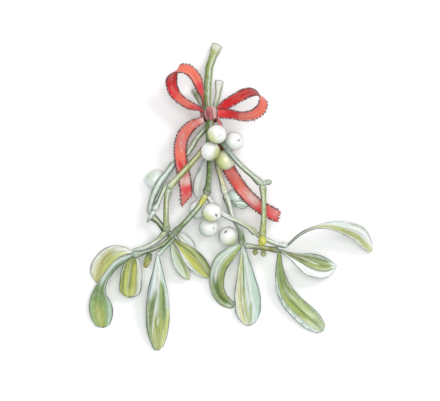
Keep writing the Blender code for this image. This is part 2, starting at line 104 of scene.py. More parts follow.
# the stems: bark tones at the start, the middle and the end of each internode, then washes laid like those
# of the leaves. The white washes are painted highlights down a stem, and the dark washes along its sides
# are painted shade as well as bark colour
STEM_LOOKS = {
    "stem_main": (("lichen", "bark", "dark_bark"), [
        ("olive", 0.05, 0.34, -0.3, -0.35, 0.6, 0.4, 0.9),
        ("fern", 0.14, 1.1, -0.75, -0.66, 0.36, 0.46, 0.9),
        ("frost", 0.1, 1.1, 0.2, 0.14, 0.24, 0.16, 0.75),
        ("leaf", 0.14, 1.1, 0.7, 0.66, 0.24, 0.3, 0.9)]),
    "stem_left_upper": (("pale_bark", "sage", "sage"), [
        ("white", -0.1, 0.3, -0.25, -0.1, 0.6, 0.4, 0.9), ("leaf", 0.08, 0.36, 0.55, 0.5, 0.26, 0.3, 0.7),
        ("moss", 0.4, 0.62, 0.0, 0.6, 1.2, 0.5, 0.8), ("white", 0.52, 1.0, -0.1, 0.0, 0.32, 0.4, 0.9)]),
    "stem_left_lower": (("grey", "mint", "grey"), [
        ("slate", -0.1, 0.9, 0.66, 0.7, 0.34, 0.3, 0.9),
        ("white", 0.05, 0.95, -0.1, -0.1, 0.32, 0.36, 0.9),
        ("moss", 0.6, 1.1, 0.75, 0.75, 0.3, 0.3, 0.6)]),
    "stem_left_elbow": (("grey_bark", "moss", "dark_bark"), [
        ("white", 0.1, 1.0, 0.0, 0.0, 0.3, 0.35, 0.9)]),
    "stem_right_upper": (("sage", "pale_bark", "sage"), [
        ("dark_bark", -0.1, 0.06, 0.0, 0.0, 1.2, 1.2, 0.9),
        ("white", 0.08, 0.22, -0.2, -0.2, 0.5, 0.4, 0.8), ("moss", 0.24, 0.62, 0.0, 0.2, 1.2, 1.0, 0.95),
        ("slate", 0.55, 0.76, 0.1, 0.0, 0.8, 0.5, 0.9),
        ("white", 0.64, 0.98, -0.2, -0.05, 0.24, 0.34, 0.8),
        ("moss", 0.54, 0.95, -0.75, -0.75, 0.24, 0.16, 0.8),
        ("moss", 0.54, 0.8, 0.85, 0.85, 0.2, 0.14, 0.8)]),
    "stem_right_lower": (("lichen", "lichen", "olive"), [
        ("white", 0.02, 0.8, -0.2, -0.3, 0.24, 0.24, 0.5),
        ("moss", 0.0, 1.0, 0.8, 0.8, 0.25, 0.25, 0.8)]),
    "stem_inner_left": (("straw", "olive", "lichen"), [
        ("moss", 0.0, 0.9, 0.7, 0.7, 0.26, 0.26, 0.7), ("white", 0.1, 1.0, -0.3, -0.2, 0.2, 0.3, 0.6)]),
    "stem_left_down": (("pale_bark", "lichen", "sage"), [
        ("white", 0.02, 0.6, 0.0, 0.1, 0.26, 0.22, 0.7),
        ("olive", 0.1, 0.95, -0.6, -0.6, 0.3, 0.3, 0.8)]),
    "stem_left_out": (("lichen", "pale_bark", "frost"), [
        ("white", 0.1, 1.0, 0.1, 0.1, 0.4, 0.4, 0.8), ("moss", 0.0, 0.8, -0.75, -0.75, 0.25, 0.25, 0.9)]),
    "stem_centre": (("dark_bark", "moss", "dark_bark"), [
        ("grey", 0.15, 0.9, 0.45, 0.55, 0.22, 0.3, 0.6), ("fern", 0.1, 0.9, -0.4, -0.4, 0.3, 0.3, 0.5)]),
    "stem_centre_left": (("gold", "sage", "moss"), [
        ("frost", 0.22, 0.7, 0.0, 0.1, 0.35, 0.28, 0.8), ("gold", -0.1, 0.16, 0.0, 0.0, 1.0, 1.0, 1.0),
        ("moss", 0.15, 1.0, 0.76, 0.66, 0.26, 0.36, 1.0),
        ("dark_bark", 0.6, 1.1, -0.5, -0.4, 0.35, 0.45, 0.8)]),
    "stem_centre_right": (("white", "white", "pale_bark"), [
        ("white", -0.1, 0.52, 0.0, 0.0, 0.95, 0.8, 1.0), ("olive", 0.5, 1.1, 0.2, 0.1, 0.36, 0.5, 0.6),
        ("moss", 0.5, 1.0, -0.75, -0.75, 0.2, 0.2, 0.5)]),
    "stem_inner_right": (("pale_bark", "straw", "cream"), [
        ("grey_bark", 0.0, 0.9, -0.7, -0.75, 0.32, 0.25, 0.9),
        ("ochre", 0.35, 0.9, 0.15, 0.15, 0.2, 0.2, 0.35), ("white", 0.0, 0.5, 0.2, 0.2, 0.3, 0.2, 0.7)]),
    "stem_inner_right_lower": (("pale_bark", "frost", "moss"), [
        ("moss", 0.0, 1.0, -0.65, -0.4, 0.26, 0.5, 0.7),
        ("white", 0.05, 0.75, 0.2, 0.3, 0.35, 0.3, 0.9)]),
    "stem_low_right": (("sage", "bark", "dark_bark"), [
        ("white", 0.05, 0.7, 0.2, 0.2, 0.3, 0.2, 0.6), ("ochre", 0.4, 0.9, -0.3, -0.2, 0.3, 0.3, 0.5)]),
    "stem_far_right": (("lichen", "pale_bark", "frost"), [
        ("white", 0.3, 1.0, 0.2, 0.2, 0.5, 0.5, 0.8), ("olive", 0.05, 0.5, -0.3, -0.3, 0.3, 0.3, 0.6)]),
    "stem_low_left": (("moss", "bark", "grey"), [
        ("moss", 0.0, 0.8, 0.6, 0.6, 0.3, 0.3, 0.8), ("slate", 0.4, 1.0, -0.6, -0.6, 0.3, 0.3, 0.6),
        ("white", 0.1, 0.9, -0.1, -0.1, 0.22, 0.2, 0.6)]),
    "stem_long_leaf": (("pale_bark", "mint", "frost"), [
        ("moss", 0.0, 0.9, -0.8, -0.8, 0.2, 0.2, 0.6)]),
    "stem_low_left_back": (("lichen", "pale_bark", "frost"), [
        ("white", 0.2, 1.0, 0.2, 0.2, 0.4, 0.4, 0.8), ("ochre", 0.1, 0.7, -0.5, -0.5, 0.12, 0.12, 0.4)]),
    "stub_left": (("white", "frost", "sage"), []),
    "stub_right": (("sage", "pale_bark", "frost"), []),
}
# the stems that begin with a cut face
CUT_STEMS = ("stem_main", "stem_left_upper", "stem_right_upper")

# how strong the long brush strokes are on the leaves that differ from the rest
STROKES = {"leaf_left_droop": 0.3, "leaf_back_centre": 0.2, "leaf_right_side": 0.25,
           "leaf_left_behind": 0.6, "leaf_broad": 0.5}
# how strong the slate speckles along the margins are
SPECKLES = {"leaf_right_long": 0.8, "leaf_curl": 0.45, "leaf_broad": 0.2}

# the leaves: a ground tone, then washes of (tone, start and end along the leaf, place across it where it
# starts and ends, breadth there, strength). Across runs from -1, the left margin seen from above with the
# base at the top, to 1, the right margin. The white washes are painted highlights, the slate ones are
# painted shade, and the pale and dark halves of a blade are painted light and shade laid over its own
# greens.
LEAF_WASHES = {
    "leaf_long": ("frost", [
        ("slate", -0.1, 0.62, -0.8, -0.92, 0.25, 0.16, 0.85),
        ("white", 0.0, 0.45, 0.0, 0.1, 0.4, 0.3, 0.8), ("mint", 0.05, 0.55, 0.75, 0.8, 0.3, 0.2, 0.8),
        ("leaf", 0.44, 0.95, -0.5, -0.72, 0.45, 0.26, 0.9),
        ("moss", 0.4, 0.84, -0.26, -0.78, 0.26, 0.16, 1.0),
        ("leaf", 0.26, 0.8, 0.45, 0.4, 0.24, 0.55, 1.0),
        ("moss", 0.28, 0.66, 0.58, 0.52, 0.12, 0.16, 0.9),
        ("olive", 0.62, 1.1, -0.05, 0.0, 0.4, 0.85, 1.0),
        ("moss", 0.6, 0.85, -0.15, -0.1, 0.07, 0.05, 0.6),
        ("lime", 0.58, 1.0, 0.92, 0.62, 0.14, 0.22, 0.9),
        ("fern", 0.58, 0.97, -0.93, -0.85, 0.1, 0.16, 0.9),
        ("white", 0.36, 0.86, 0.08, -0.58, 0.04, 0.05, 1.0),
        ("white", 0.66, 0.72, 0.12, 0.05, 0.07, 0.06, 1.0)]),
    "leaf_left_droop": ("jade", [
        ("frost", -0.1, 0.5, -0.45, -0.45, 0.55, 0.5, 1.0),
        ("grey", -0.1, 0.42, -0.9, -0.95, 0.2, 0.14, 0.8), ("slate", -0.1, 0.3, 0.3, 0.3, 0.4, 0.3, 0.8),
        ("fern", 0.08, 0.62, 0.72, 0.2, 0.24, 0.26, 0.9),
        ("moss", 0.52, 0.74, -0.62, -0.58, 0.3, 0.3, 0.7),
        ("leaf", 0.7, 1.1, -0.35, -0.2, 0.6, 0.65, 0.9), ("olive", 0.8, 1.1, -0.1, 0.0, 0.5, 0.6, 0.9),
        ("mint", 0.45, 1.05, 0.86, 0.8, 0.2, 0.3, 1.0),
        ("frost", 0.38, 0.62, 0.72, 0.85, 0.14, 0.12, 0.9),
        ("jade", 0.66, 1.0, 0.45, 0.4, 0.14, 0.16, 0.8)]),
    "leaf_left_short": ("olive", [
        ("moss", 0.1, 0.98, -0.1, -0.14, 0.07, 0.1, 0.65),
        ("moss", 0.2, 0.95, -0.7, -0.7, 0.1, 0.08, 0.6),
        ("gold", 0.12, 0.95, 0.34, 0.34, 0.16, 0.18, 0.8),
        ("lime", 0.3, 1.0, -0.4, -0.43, 0.14, 0.14, 0.8), ("moss", -0.1, 0.1, 0.0, 0.0, 0.6, 0.5, 0.6),
        ("white", -0.1, 1.1, 0.9, 0.86, 0.32, 0.3, 1.0), ("lime", 0.78, 1.1, 0.1, 0.1, 0.6, 0.6, 0.6),
        ("mint", 0.3, 1.0, 0.72, 0.68, 0.05, 0.06, 0.7),
        ("white", -0.1, 0.6, -0.98, -0.98, 0.12, 0.08, 0.9)]),
    "leaf_left_behind": ("straw", [
        ("cream", 0.1, 0.9, -0.62, -0.6, 0.3, 0.22, 0.9), ("white", -0.1, 0.34, 0.0, 0.0, 1.1, 1.0, 0.9),
        ("lime", 0.12, 0.8, 0.42, 0.5, 0.4, 0.35, 0.9),
        ("ochre", 0.26, 0.92, -0.26, -0.12, 0.14, 0.18, 0.4),
        ("ochre", 0.3, 0.7, -0.38, -0.14, 0.05, 0.05, 0.7),
        ("white", 0.2, 1.1, -0.9, -0.9, 0.16, 0.12, 0.9),
        ("olive", 0.15, 0.6, -0.62, -0.55, 0.08, 0.06, 0.6),
        ("olive", 0.45, 0.9, 0.2, 0.1, 0.1, 0.1, 0.5), ("white", 0.3, 1.1, 0.95, 0.95, 0.14, 0.14, 0.9)]),
    "leaf_inner_small": ("leaf_pale", [
        ("frost", 0.05, 0.9, -0.6, -0.6, 0.36, 0.36, 0.9), ("leaf", 0.3, 1.0, 0.35, 0.15, 0.14, 0.2, 0.7),
        ("white", 0.1, 0.8, 0.05, 0.0, 0.15, 0.15, 0.7),
        ("white", 0.1, 1.1, 0.88, 0.88, 0.3, 0.35, 1.0)]),
    "leaf_inner_broad": ("olive", [
        ("gold", 0.15, 1.1, -0.35, -0.35, 0.16, 0.3, 0.8), ("moss", 0.3, 1.05, 0.3, 0.35, 0.1, 0.16, 0.8),
        ("moss", 0.5, 1.05, 0.9, 0.85, 0.16, 0.2, 0.8), ("moss", -0.1, 0.3, 0.1, 0.1, 0.6, 0.4, 0.7),
        ("lime", 0.25, 0.9, 0.05, 0.05, 0.12, 0.12, 0.8),
        ("white", 0.02, 1.0, -0.9, -0.95, 0.38, 0.32, 1.0)]),
    "leaf_inner_back": ("white", [
        ("sage", -0.1, 0.35, 0.0, 0.0, 0.6, 0.4, 0.6), ("straw", 0.1, 0.7, -0.6, -0.6, 0.2, 0.2, 0.7),
        ("frost", 0.3, 1.0, 0.4, 0.3, 0.4, 0.4, 0.6)]),
    "leaf_curl": ("leaf", [
        ("frost", 0.02, 0.62, -0.45, -0.5, 0.6, 0.42, 1.0),
        ("sage", 0.1, 0.6, -0.85, -0.9, 0.16, 0.16, 0.8),
        ("white", 0.15, 0.6, -0.05, -0.2, 0.14, 0.1, 0.8),
        ("leaf_pale", 0.1, 0.55, 0.25, 0.2, 0.2, 0.2, 0.7),
        ("olive", 0.0, 0.6, 0.7, 0.6, 0.26, 0.26, 0.7),
        ("sage", 0.2, 0.62, -0.38, -0.42, 0.05, 0.05, 0.8),
        ("fern", 0.56, 0.96, -0.15, 0.15, 0.42, 0.46, 1.0),
        ("moss", 0.62, 0.93, -0.1, 0.1, 0.28, 0.28, 1.0),
        ("olive", 0.5, 0.95, 0.72, 0.82, 0.25, 0.16, 0.9),
        ("mint", 0.62, 0.95, -0.95, -0.97, 0.14, 0.12, 0.8),
        ("frost", 0.95, 1.3, 0.2, 0.2, 1.0, 1.0, 0.8)]),
    "leaf_broad": ("frost", [
        ("straw", 0.1, 1.0, -0.72, -0.6, 0.22, 0.24, 1.0),
        ("cream", 0.2, 0.95, -0.82, -0.75, 0.08, 0.08, 0.8),
        ("leaf", 0.02, 0.66, -0.28, -0.26, 0.18, 0.12, 1.0),
        ("moss", 0.02, 0.6, -0.22, -0.24, 0.08, 0.05, 1.0),
        ("ochre", 0.16, 0.94, -0.52, -0.42, 0.05, 0.045, 1.0),
        ("olive", 0.55, 0.98, -0.28, -0.1, 0.12, 0.16, 0.9),
        ("leaf", 0.7, 0.97, 0.26, 0.12, 0.11, 0.2, 0.9), ("sage", 0.3, 0.9, 0.1, 0.24, 0.04, 0.04, 0.7),
        ("jade", 0.1, 0.75, 0.44, 0.55, 0.05, 0.04, 0.5), ("mint", 0.1, 0.95, 0.75, 0.75, 0.22, 0.2, 1.0),
        ("slate", 0.2, 0.95, 0.95, 0.95, 0.09, 0.09, 0.8),
        ("white", 0.35, 0.8, -0.02, 0.0, 0.05, 0.05, 0.8)]),
    "leaf_right_long": ("leaf", [
        ("sage", 0.02, 0.35, -0.6, -0.6, 0.4, 0.3, 0.8),
        ("frost", 0.28, 1.05, -0.88, -0.9, 0.16, 0.34, 1.0),
        ("grey", 0.35, 0.95, -0.64, -0.6, 0.08, 0.1, 0.7),
        ("moss", 0.15, 0.6, -0.1, -0.15, 0.1, 0.08, 0.8), ("moss", 0.2, 0.5, 0.45, 0.45, 0.25, 0.2, 0.6),
        ("leaf_pale", 0.45, 0.92, 0.5, 0.3, 0.26, 0.34, 0.9),
        ("olive", 0.4, 0.95, -0.3, -0.25, 0.16, 0.2, 0.8),
        ("moss", 0.55, 0.92, 0.1, 0.0, 0.05, 0.06, 0.9), ("white", 0.5, 1.0, 1.0, 0.96, 0.08, 0.14, 0.9),
        ("moss", 0.85, 0.97, 0.2, 0.1, 0.3, 0.3, 0.6), ("frost", 0.95, 1.3, 0.2, 0.2, 0.9, 0.9, 0.6)]),
    "leaf_right_side": ("white", [
        ("grey_bark", 0.1, 1.0, 0.86, 0.8, 0.34, 0.3, 0.8),
        ("leaf", 0.1, 0.95, 0.22, 0.16, 0.44, 0.56, 1.0), ("olive", 0.3, 0.9, 0.05, 0.0, 0.14, 0.2, 0.8),
        ("dark_bark", -0.1, 0.42, 0.2, 0.3, 0.95, 0.4, 1.0),
        ("ochre", -0.05, 0.5, 0.3, 0.42, 0.2, 0.14, 0.8),
        ("moss", 0.2, 0.95, -0.18, -0.38, 0.07, 0.1, 1.0),
        ("moss", 0.1, 0.92, 0.62, 0.56, 0.12, 0.12, 1.0),
        ("moss", 0.42, 0.88, 0.26, 0.14, 0.12, 0.14, 0.7),
        ("white", 0.32, 0.62, 0.36, 0.18, 0.05, 0.05, 1.0),
        ("frost", 0.92, 1.2, 0.0, 0.0, 1.1, 1.1, 0.6)]),
    "leaf_right_arch": ("white", [
        ("slate", -0.1, 0.34, 0.2, 0.2, 0.9, 0.6, 1.0), ("moss", -0.1, 0.26, 0.4, 0.6, 0.7, 0.4, 1.0),
        ("straw", 0.28, 0.6, -0.1, -0.35, 0.7, 0.35, 0.9),
        ("olive", 0.4, 0.98, -0.55, -0.4, 0.26, 0.48, 1.0),
        ("moss", 0.55, 0.95, -0.22, -0.05, 0.06, 0.07, 0.7),
        ("ochre", 0.45, 0.92, -0.8, -0.75, 0.07, 0.06, 0.7),
        ("lime", 0.92, 1.2, -0.2, 0.0, 0.5, 0.5, 0.8), ("moss", 0.62, 0.76, 0.78, 0.82, 0.06, 0.06, 0.9),
        ("mint", 0.4, 0.75, 0.5, 0.5, 0.3, 0.2, 0.5)]),
    "leaf_back_centre": ("white", [
        ("slate", 0.05, 0.5, -0.35, -0.85, 0.22, 0.18, 0.9)]),
    "leaf_young": ("mint", [
        ("grey", 0.2, 1.1, -0.5, -0.5, 0.4, 0.4, 0.8), ("frost", 0.1, 0.9, 0.5, 0.5, 0.3, 0.3, 0.8)]),
}
# how far, in millimetres, the middle of a leaf's tip is drawn back, or pointed where it is negative
NOTCHED_TIPS = {"leaf_left_short": 0.6, "leaf_left_droop": 0.5, "leaf_long": -0.5,
                "leaf_right_long": 0.3}

# the berries: the skin, the green tint that is painted shade on one side of it, and how strongly
BERRY_TINTS = {
    "berry_top": ("white", "lime", 1.0), "berry_top_right": ("white", "mint", 0.7),
    "berry_fork": ("white", "olive", 1.0), "berry_under_fork": ("cream", "lime", 0.85),
    "berry_left": ("white", "frost", 0.9), "berry_middle": ("white", "lime", 0.9),
    "berry_middle_low": ("white", "mint", 0.5), "berry_low": ("white", "leaf_pale", 0.9),
    "berry_middle_left": ("white", "mint", 0.6), "berry_behind_ribbon": ("frost", "mint", 0.9),
}
# how dark the eye of a berry is, where it isn't fully dark
BERRY_EYES = {"berry_top": 0.25, "berry_fork": 0.2, "berry_under_fork": 0.1, "berry_left": 0.3,
              "berry_middle_low": 0.45, "berry_top_right": 0.7, "berry_behind_ribbon": 0.2}
# how dark the painted shade line round a berry's waist is, and on the berries that differ
BERRY_RIM = 0.55
BERRY_RIMS = {"berry_top": 1.0, "berry_low": 0.9, "berry_middle": 0.85, "berry_fork": 0.75,
              "berry_top_right": 0.8, "berry_middle_low": 0.6, "berry_left": 0.5}
# the direction of the painted shade on a berry, where it isn't the usual one
BERRY_SHADE = (-0.55, -0.60, 0.0)
BERRY_SHADES = {"berry_top": (-0.75, -0.62, 0.0), "berry_fork": (0.85, -0.50, 0.0),
                "berry_under_fork": (-0.7, -0.3, 0.3), "berry_top_right": (-0.6, 0.1, 0.0),
                "berry_middle": (-0.5, -0.85, 0.0), "berry_low": (0.5, -0.7, 0.0),
                "berry_left": (-0.3, 0.3, 0.4)}

# the ribbon's runs: how far along the run each tone stands. The salmon, rose and blush stretches are the
# red ribbon painted lighter where light falls on it, and the crimson, wine and picot stretches are painted
# shade, deepest by the knot
RIBBON_TONES = {
    "ribbon_band": (
        (0.0, "wine"), (0.5, "crimson"), (1.0, "wine")),
    "ribbon_loop_left": (
        (0.0, "wine"), (0.05, "crimson"), (0.18, "crimson"), (0.24, "salmon"), (0.42, "salmon"),
        (0.46, "scarlet"), (0.6, "crimson"), (0.7, "scarlet"), (0.76, "salmon"), (0.85, "salmon"),
        (0.89, "crimson"), (1.0, "crimson")),
    "ribbon_loop_right": (
        (0.0, "crimson"), (0.37, "crimson"), (0.42, "rose"), (0.47, "salmon"), (0.79, "salmon"),
        (0.83, "crimson"), (0.97, "crimson"), (1.0, "scarlet")),
    "ribbon_tail_left": (
        (0.0, "blush"), (0.08, "rose"), (0.22, "salmon"), (0.36, "rose"), (0.52, "salmon"),
        (0.62, "scarlet"), (0.7, "rose"), (0.79, "blush"), (0.88, "scarlet"), (1.0, "rose")),
    "ribbon_tail_right": (
        (0.0, "scarlet"), (0.12, "crimson"), (0.17, "picot"), (0.38, "picot"), (0.42, "scarlet"),
        (0.52, "rose"), (0.64, "salmon"), (0.78, "blush"), (0.87, "scarlet"), (1.0, "rose")),
}
# the buds: tones at the base, the middle and the tip
BUD_TONES = {
    "bud_left": ("moss", "olive", "ochre"), "bud_right": ("gold", "gold", "olive"),
    "bud_low_left": ("bark", "olive", "ochre"), "bud_low_right": ("bark", "lichen", "olive"),
}


# ------------------------------------------------------------------ settings


def tone_setting(name, red, green, blue):
    """A colour setting, its default given in steps of 255."""
    return FloatVectorProperty(name=name, description=f"{name} of the bunch", subtype="COLOR_GAMMA",
                               size=3, min=0.0, max=1.0, default=(red / 255, green / 255, blue / 255))


def length_setting(name, description, default, largest):
    """A length in metres, from 0 to the largest."""
    return FloatProperty(name=name, description=description, default=default, min=0.0, max=largest,
                         subtype="DISTANCE", unit="LENGTH", precision=5)


def share_setting(name, description, default, largest=1.0):
    """A share, from 0 to the largest."""
    return FloatProperty(name=name, description=description, default=default, min=0.0, max=largest,
                         subtype="FACTOR")


def angle_setting(name, description, default, largest):
    """An angle in radians, from 0 to the largest."""
    return FloatProperty(name=name, description=description, default=default, min=0.0, max=largest,
                         subtype="ANGLE", unit="ROTATION")


def camera_setting(name, description, default, largest):
    """A length in millimetres, from 10 to the largest."""
    return FloatProperty(name=name, description=description, default=default, min=10.0, max=largest,
                         subtype="DISTANCE_CAMERA", unit="CAMERA")


class BunchTones(PropertyGroup):
    """The tones that stems, leaves, buds and berries are washed with."""
    white: tone_setting("Chalk white", 252, 254, 250)
    frost: tone_setting("Frosted mint", 228, 241, 234)
    mint: tone_setting("Pale mint", 200, 226, 204)
    grey: tone_setting("Grey green", 176, 194, 180)
    slate: tone_setting("Slate blue", 138, 156, 160)
    sage: tone_setting("Sage green", 160, 178, 136)
    jade: tone_setting("Jade green", 146, 182, 116)
    leaf: tone_setting("Leaf green", 152, 174, 92)
    leaf_pale: tone_setting("Young leaf green", 204, 220, 160)
    olive: tone_setting("Olive green", 178, 186, 92)
    moss: tone_setting("Moss green", 100, 124, 58)
    fern: tone_setting("Fern green", 106, 138, 52)
    gold: tone_setting("Golden green", 214, 214, 84)
    lime: tone_setting("Lime juice", 216, 224, 124)
    cream: tone_setting("Cream", 240, 240, 214)
    straw: tone_setting("Straw", 218, 218, 146)
    ochre: tone_setting("Ochre", 166, 148, 66)
    lichen: tone_setting("Lichen bark", 190, 202, 146)
    bark: tone_setting("Olive bark", 146, 154, 96)
    pale_bark: tone_setting("Pale bark", 212, 220, 196)
    grey_bark: tone_setting("Grey bark", 142, 156, 128)
    dark_bark: tone_setting("Dark bark", 104, 118, 70)
    wood: tone_setting("Cut wood", 238, 241, 234)
    ink: tone_setting("Dark margin", 60, 74, 62)


class StemSettings(PropertyGroup):
    """Sizes of the stems and the strength of their drawn sides."""
    step: length_setting("Step", "Distance between the rings of a stem", 0.35 * MM, 0.005)
    reach: length_setting("Reach", "How far a stem goes on into the joint at each end", 1.1 * MM, 0.003)
    ridge: share_setting("Ridges", "Height of the long ridges, as a share of the radius", 0.045, 0.3)
    collar: share_setting("Collars", "Height of a joint's collar, as a share of the radius", 0.045, 0.5)
    # the dark lines down the sides of a stem are painted shade
    outline: share_setting("Sides", "Strength of the dark lines down the sides of a stem", 0.9)
    line: length_setting("Side lines", "Breadth of those lines, seen from above", 0.42 * MM, 0.003)


class LeafSettings(PropertyGroup):
    """Sizes of the leaves and the strength of their strokes."""
    step: length_setting("Step", "Distance between the rows of a leaf", 0.46 * MM, 0.005)
    thickness: length_setting("Thickness", "Thickness of the leaf at its middle", 0.95 * MM, 0.003)
    rib: length_setting("Midrib", "Depth of the groove over the midrib", 0.22 * MM, 0.002)
    vein: length_setting("Veins", "Depth of the long side veins", 0.045 * MM, 0.002)
    wave: length_setting("Wave", "How far the blade waves out of its plane", 0.28 * MM, 0.003)
    base_reach: length_setting("Base reach", "How far the base goes on into its joint", 1.3 * MM, 0.004)
    margin: length_setting("Margin", "Breadth of the dark margin", 0.42 * MM, 0.003)
    speckles: share_setting("Speckles", "Strength of the slate speckles near the margins", 0.25)
    strokes: share_setting("Strokes", "Strength of the long dark and pale strokes on the blade", 0.30)


class BerrySettings(PropertyGroup):
    """The berries' eyes, cups and rims."""
    eye_size: angle_setting("Eye", "Angle between the berry's axis and the rim of its dark eye", 0.17, 0.6)
    cup_size: angle_setting("Cup", "Angle between the axis and the rim of the green cup", 0.42, 1.2)
    # the dark line round a berry's waist is painted shade
    rim: share_setting("Rim", "Strength of the dark line round the berry's waist", 0.85)
    eye: tone_setting("Berry eye", 92, 78, 74)


class RibbonSettings(PropertyGroup):
    """Sizes and tones of the ribbon."""
    thickness: length_setting("Thickness", "Thickness of the woven ribbon", 0.32 * MM, 0.002)
    step: length_setting("Step", "Distance between the rows of a ribbon run", 0.24 * MM, 0.005)
    picot_pitch: length_setting("Picot pitch", "Distance between the picot loops", 1.45 * MM, 0.01)
    picot_reach: length_setting("Picot reach", "How far a picot loop stands out", 0.78 * MM, 0.004)
    tooth: length_setting("Teeth", "Half the height of the teeth along the edges", 0.46 * MM, 0.002)
    thread: length_setting("Thread", "Radius of the picot thread", 0.22 * MM, 0.002)
    salmon: tone_setting("Salmon", 248, 118, 92)
    crimson: tone_setting("Crimson", 232, 14, 26)
    scarlet: tone_setting("Scarlet", 240, 64, 70)
    rose: tone_setting("Rose", 228, 130, 122)
    blush: tone_setting("Blush", 244, 206, 198)
    wine: tone_setting("Wine", 150, 34, 40)
    picot: tone_setting("Picot thread", 98, 16, 26)


class StageSettings(PropertyGroup):
    """The camera's lens and view, and the floor."""
    lens: camera_setting("Lens", "Focal length of the camera, in millimetres", 300.0, 400.0)
    sensor: camera_setting("Sensor", "Width of the camera's sensor, in millimetres", 36.0, 60.0)
    view_width: length_setting("View width", "Width of the view at the height of the bunch", 0.2376, 1.0)
    floor: tone_setting("Floor", 250, 250, 250)


GROUPS = (("bunch_tones", BunchTones), ("bunch_stems", StemSettings), ("bunch_leaves", LeafSettings),
          ("bunch_berries", BerrySettings), ("bunch_ribbon", RibbonSettings),
          ("bunch_stage", StageSettings))


def linear(tone):
    """The linear light values of a display colour."""
    tone = np.asarray(tone, float)
    return np.where(tone <= 0.04045, tone / 12.92, ((tone + 0.055) / 1.055) ** 2.4)


def bunch_tone(name):
    """The linear light values of one of the bunch's tones."""
    return linear(getattr(bpy.context.scene.bunch_tones, name))


def ribbon_tone(name):
    """The linear light values of one of the ribbon's tones."""
    return linear(getattr(bpy.context.scene.bunch_ribbon, name))


# ------------------------------------------------------------------ numbers


def unit(vectors):
    """The vectors, each divided by its length."""
    return vectors / np.linalg.norm(vectors, axis=-1, keepdims=True)


def rise(values, start, end):
    """0 before the start and 1 after the end, with a smooth S-shaped rise between them."""
    share = np.clip((values - start) / (end - start), 0.0, 1.0)
    return share * share * (3.0 - 2.0 * share)


def hump(values, centre, breadth):
    """A bell of height 1 at the centre that has fallen to 1/e at one breadth from it."""
    return np.exp(-((values - centre) / breadth) ** 2)


def seed_of(name):
    """A number of its own for each name, the same on every run."""
    return sum((place + 1) * ord(letter) for place, letter in enumerate(name)) % 9973


def ripple(x, y, seed, waves=6, roughness=0.75):
    """A smooth, irregular field from -1 to 1: a sum of sine waves whose directions, lengths and
    phases come from the seed, each finer than the last and lower by the roughness."""
    random = np.random.default_rng(seed)
    total, height = 0.0, 1.0
    for wave in range(waves):
        angle, phase = random.uniform(0, 2 * math.pi, 2)
        size = 1.55 ** wave
        total = total + height * np.sin(size * (x * math.cos(angle) + y * math.sin(angle)) + phase)
        height *= roughness
    return np.clip(total / 2.0, -1.0, 1.0)


def smooth_through(knots, values, wanted, bounded=False):
    """A cubic through the values at the knots. The slope at a knot is the mean of its two chords,
    each weighted by the other's length. A bounded curve never overshoots its values."""
    knots = np.asarray(knots, float)
    values = np.asarray(values, float).reshape(len(knots), -1)
    gaps = np.diff(knots)[:, None]
    chords = np.diff(values, axis=0) / gaps
    inner = (chords[:-1] * gaps[1:] + chords[1:] * gaps[:-1]) / (gaps[1:] + gaps[:-1])
    slopes = np.vstack([chords[:1], inner, chords[-1:]])
    if bounded:
        limit = 3.0 * np.minimum(abs(chords[:-1]), abs(chords[1:])) * (chords[:-1] * chords[1:] > 0)
        slopes[1:-1] = np.clip(slopes[1:-1], -limit, limit)
    cell = np.clip(np.searchsorted(knots, wanted, side="right") - 1, 0, len(knots) - 2)
    gap = gaps[cell]
    t = (wanted[:, None] - knots[cell][:, None]) / gap
    return ((1 + 2 * t) * (1 - t) ** 2 * values[cell] + t * (1 - t) ** 2 * gap * slopes[cell]
            + t * t * (3 - 2 * t) * values[cell + 1] + t * t * (t - 1) * gap * slopes[cell + 1])


def root_through(knots, squares, wanted):
    """The square root of a bounded curve through the squares, which closes like a ball where they
    fall to 0."""
    curve = smooth_through(knots, squares, wanted, bounded=True)[:, 0]
    return np.sqrt(np.maximum(curve, LEAST_SQUARE))


def rounded(distance, length):
    """Nearly 0 at no distance and 1 from the length on: the square root of their ratio."""
    return np.sqrt(np.clip(distance / length, 1e-4, 1))


def blended(tones, stations, wanted):
    """The colours at the wanted places, eased from each station's tone to the next."""
    stations, tones = np.asarray(stations, float), np.asarray(tones, float)
    cell = np.clip(np.searchsorted(stations, wanted, side="right") - 1, 0, len(stations) - 2)
    share = rise(wanted, stations[cell], stations[cell + 1])[..., None]
    return tones[cell] * (1 - share) + tones[cell + 1] * share


def washed(paint, tone, mask):
    """The paint, covered by the tone where the mask is 1."""
    mask = np.clip(mask, 0.0, 1.0)[..., None]
    return paint * (1 - mask) + np.asarray(tone) * mask


# ------------------------------------------------------------------ reading the frame


def node_mesh(node):
    """The node's points, each once, and a table of which point is joined to which."""
    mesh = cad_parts[node].data
    flat = np.empty(len(mesh.vertices) * 3, np.float32)
    mesh.vertices.foreach_get("co", flat)
    corners = np.empty(len(mesh.loops), np.int32)
    mesh.loops.foreach_get("vertex_index", corners)
    keys = np.round(flat.reshape(-1, 3) / MERGE_DISTANCE).astype(np.int64)
    _, first, merged = np.unique(keys, axis=0, return_index=True, return_inverse=True)
    triangles = merged.ravel()[corners].reshape(-1, 3)
    linked = np.zeros((len(first), len(first)), bool)
    for a, b in ((0, 1), (1, 2), (2, 0)):
        linked[triangles[:, a], triangles[:, b]] = True
        linked[triangles[:, b], triangles[:, a]] = True
    return flat.reshape(-1, 3)[first].astype(float), linked


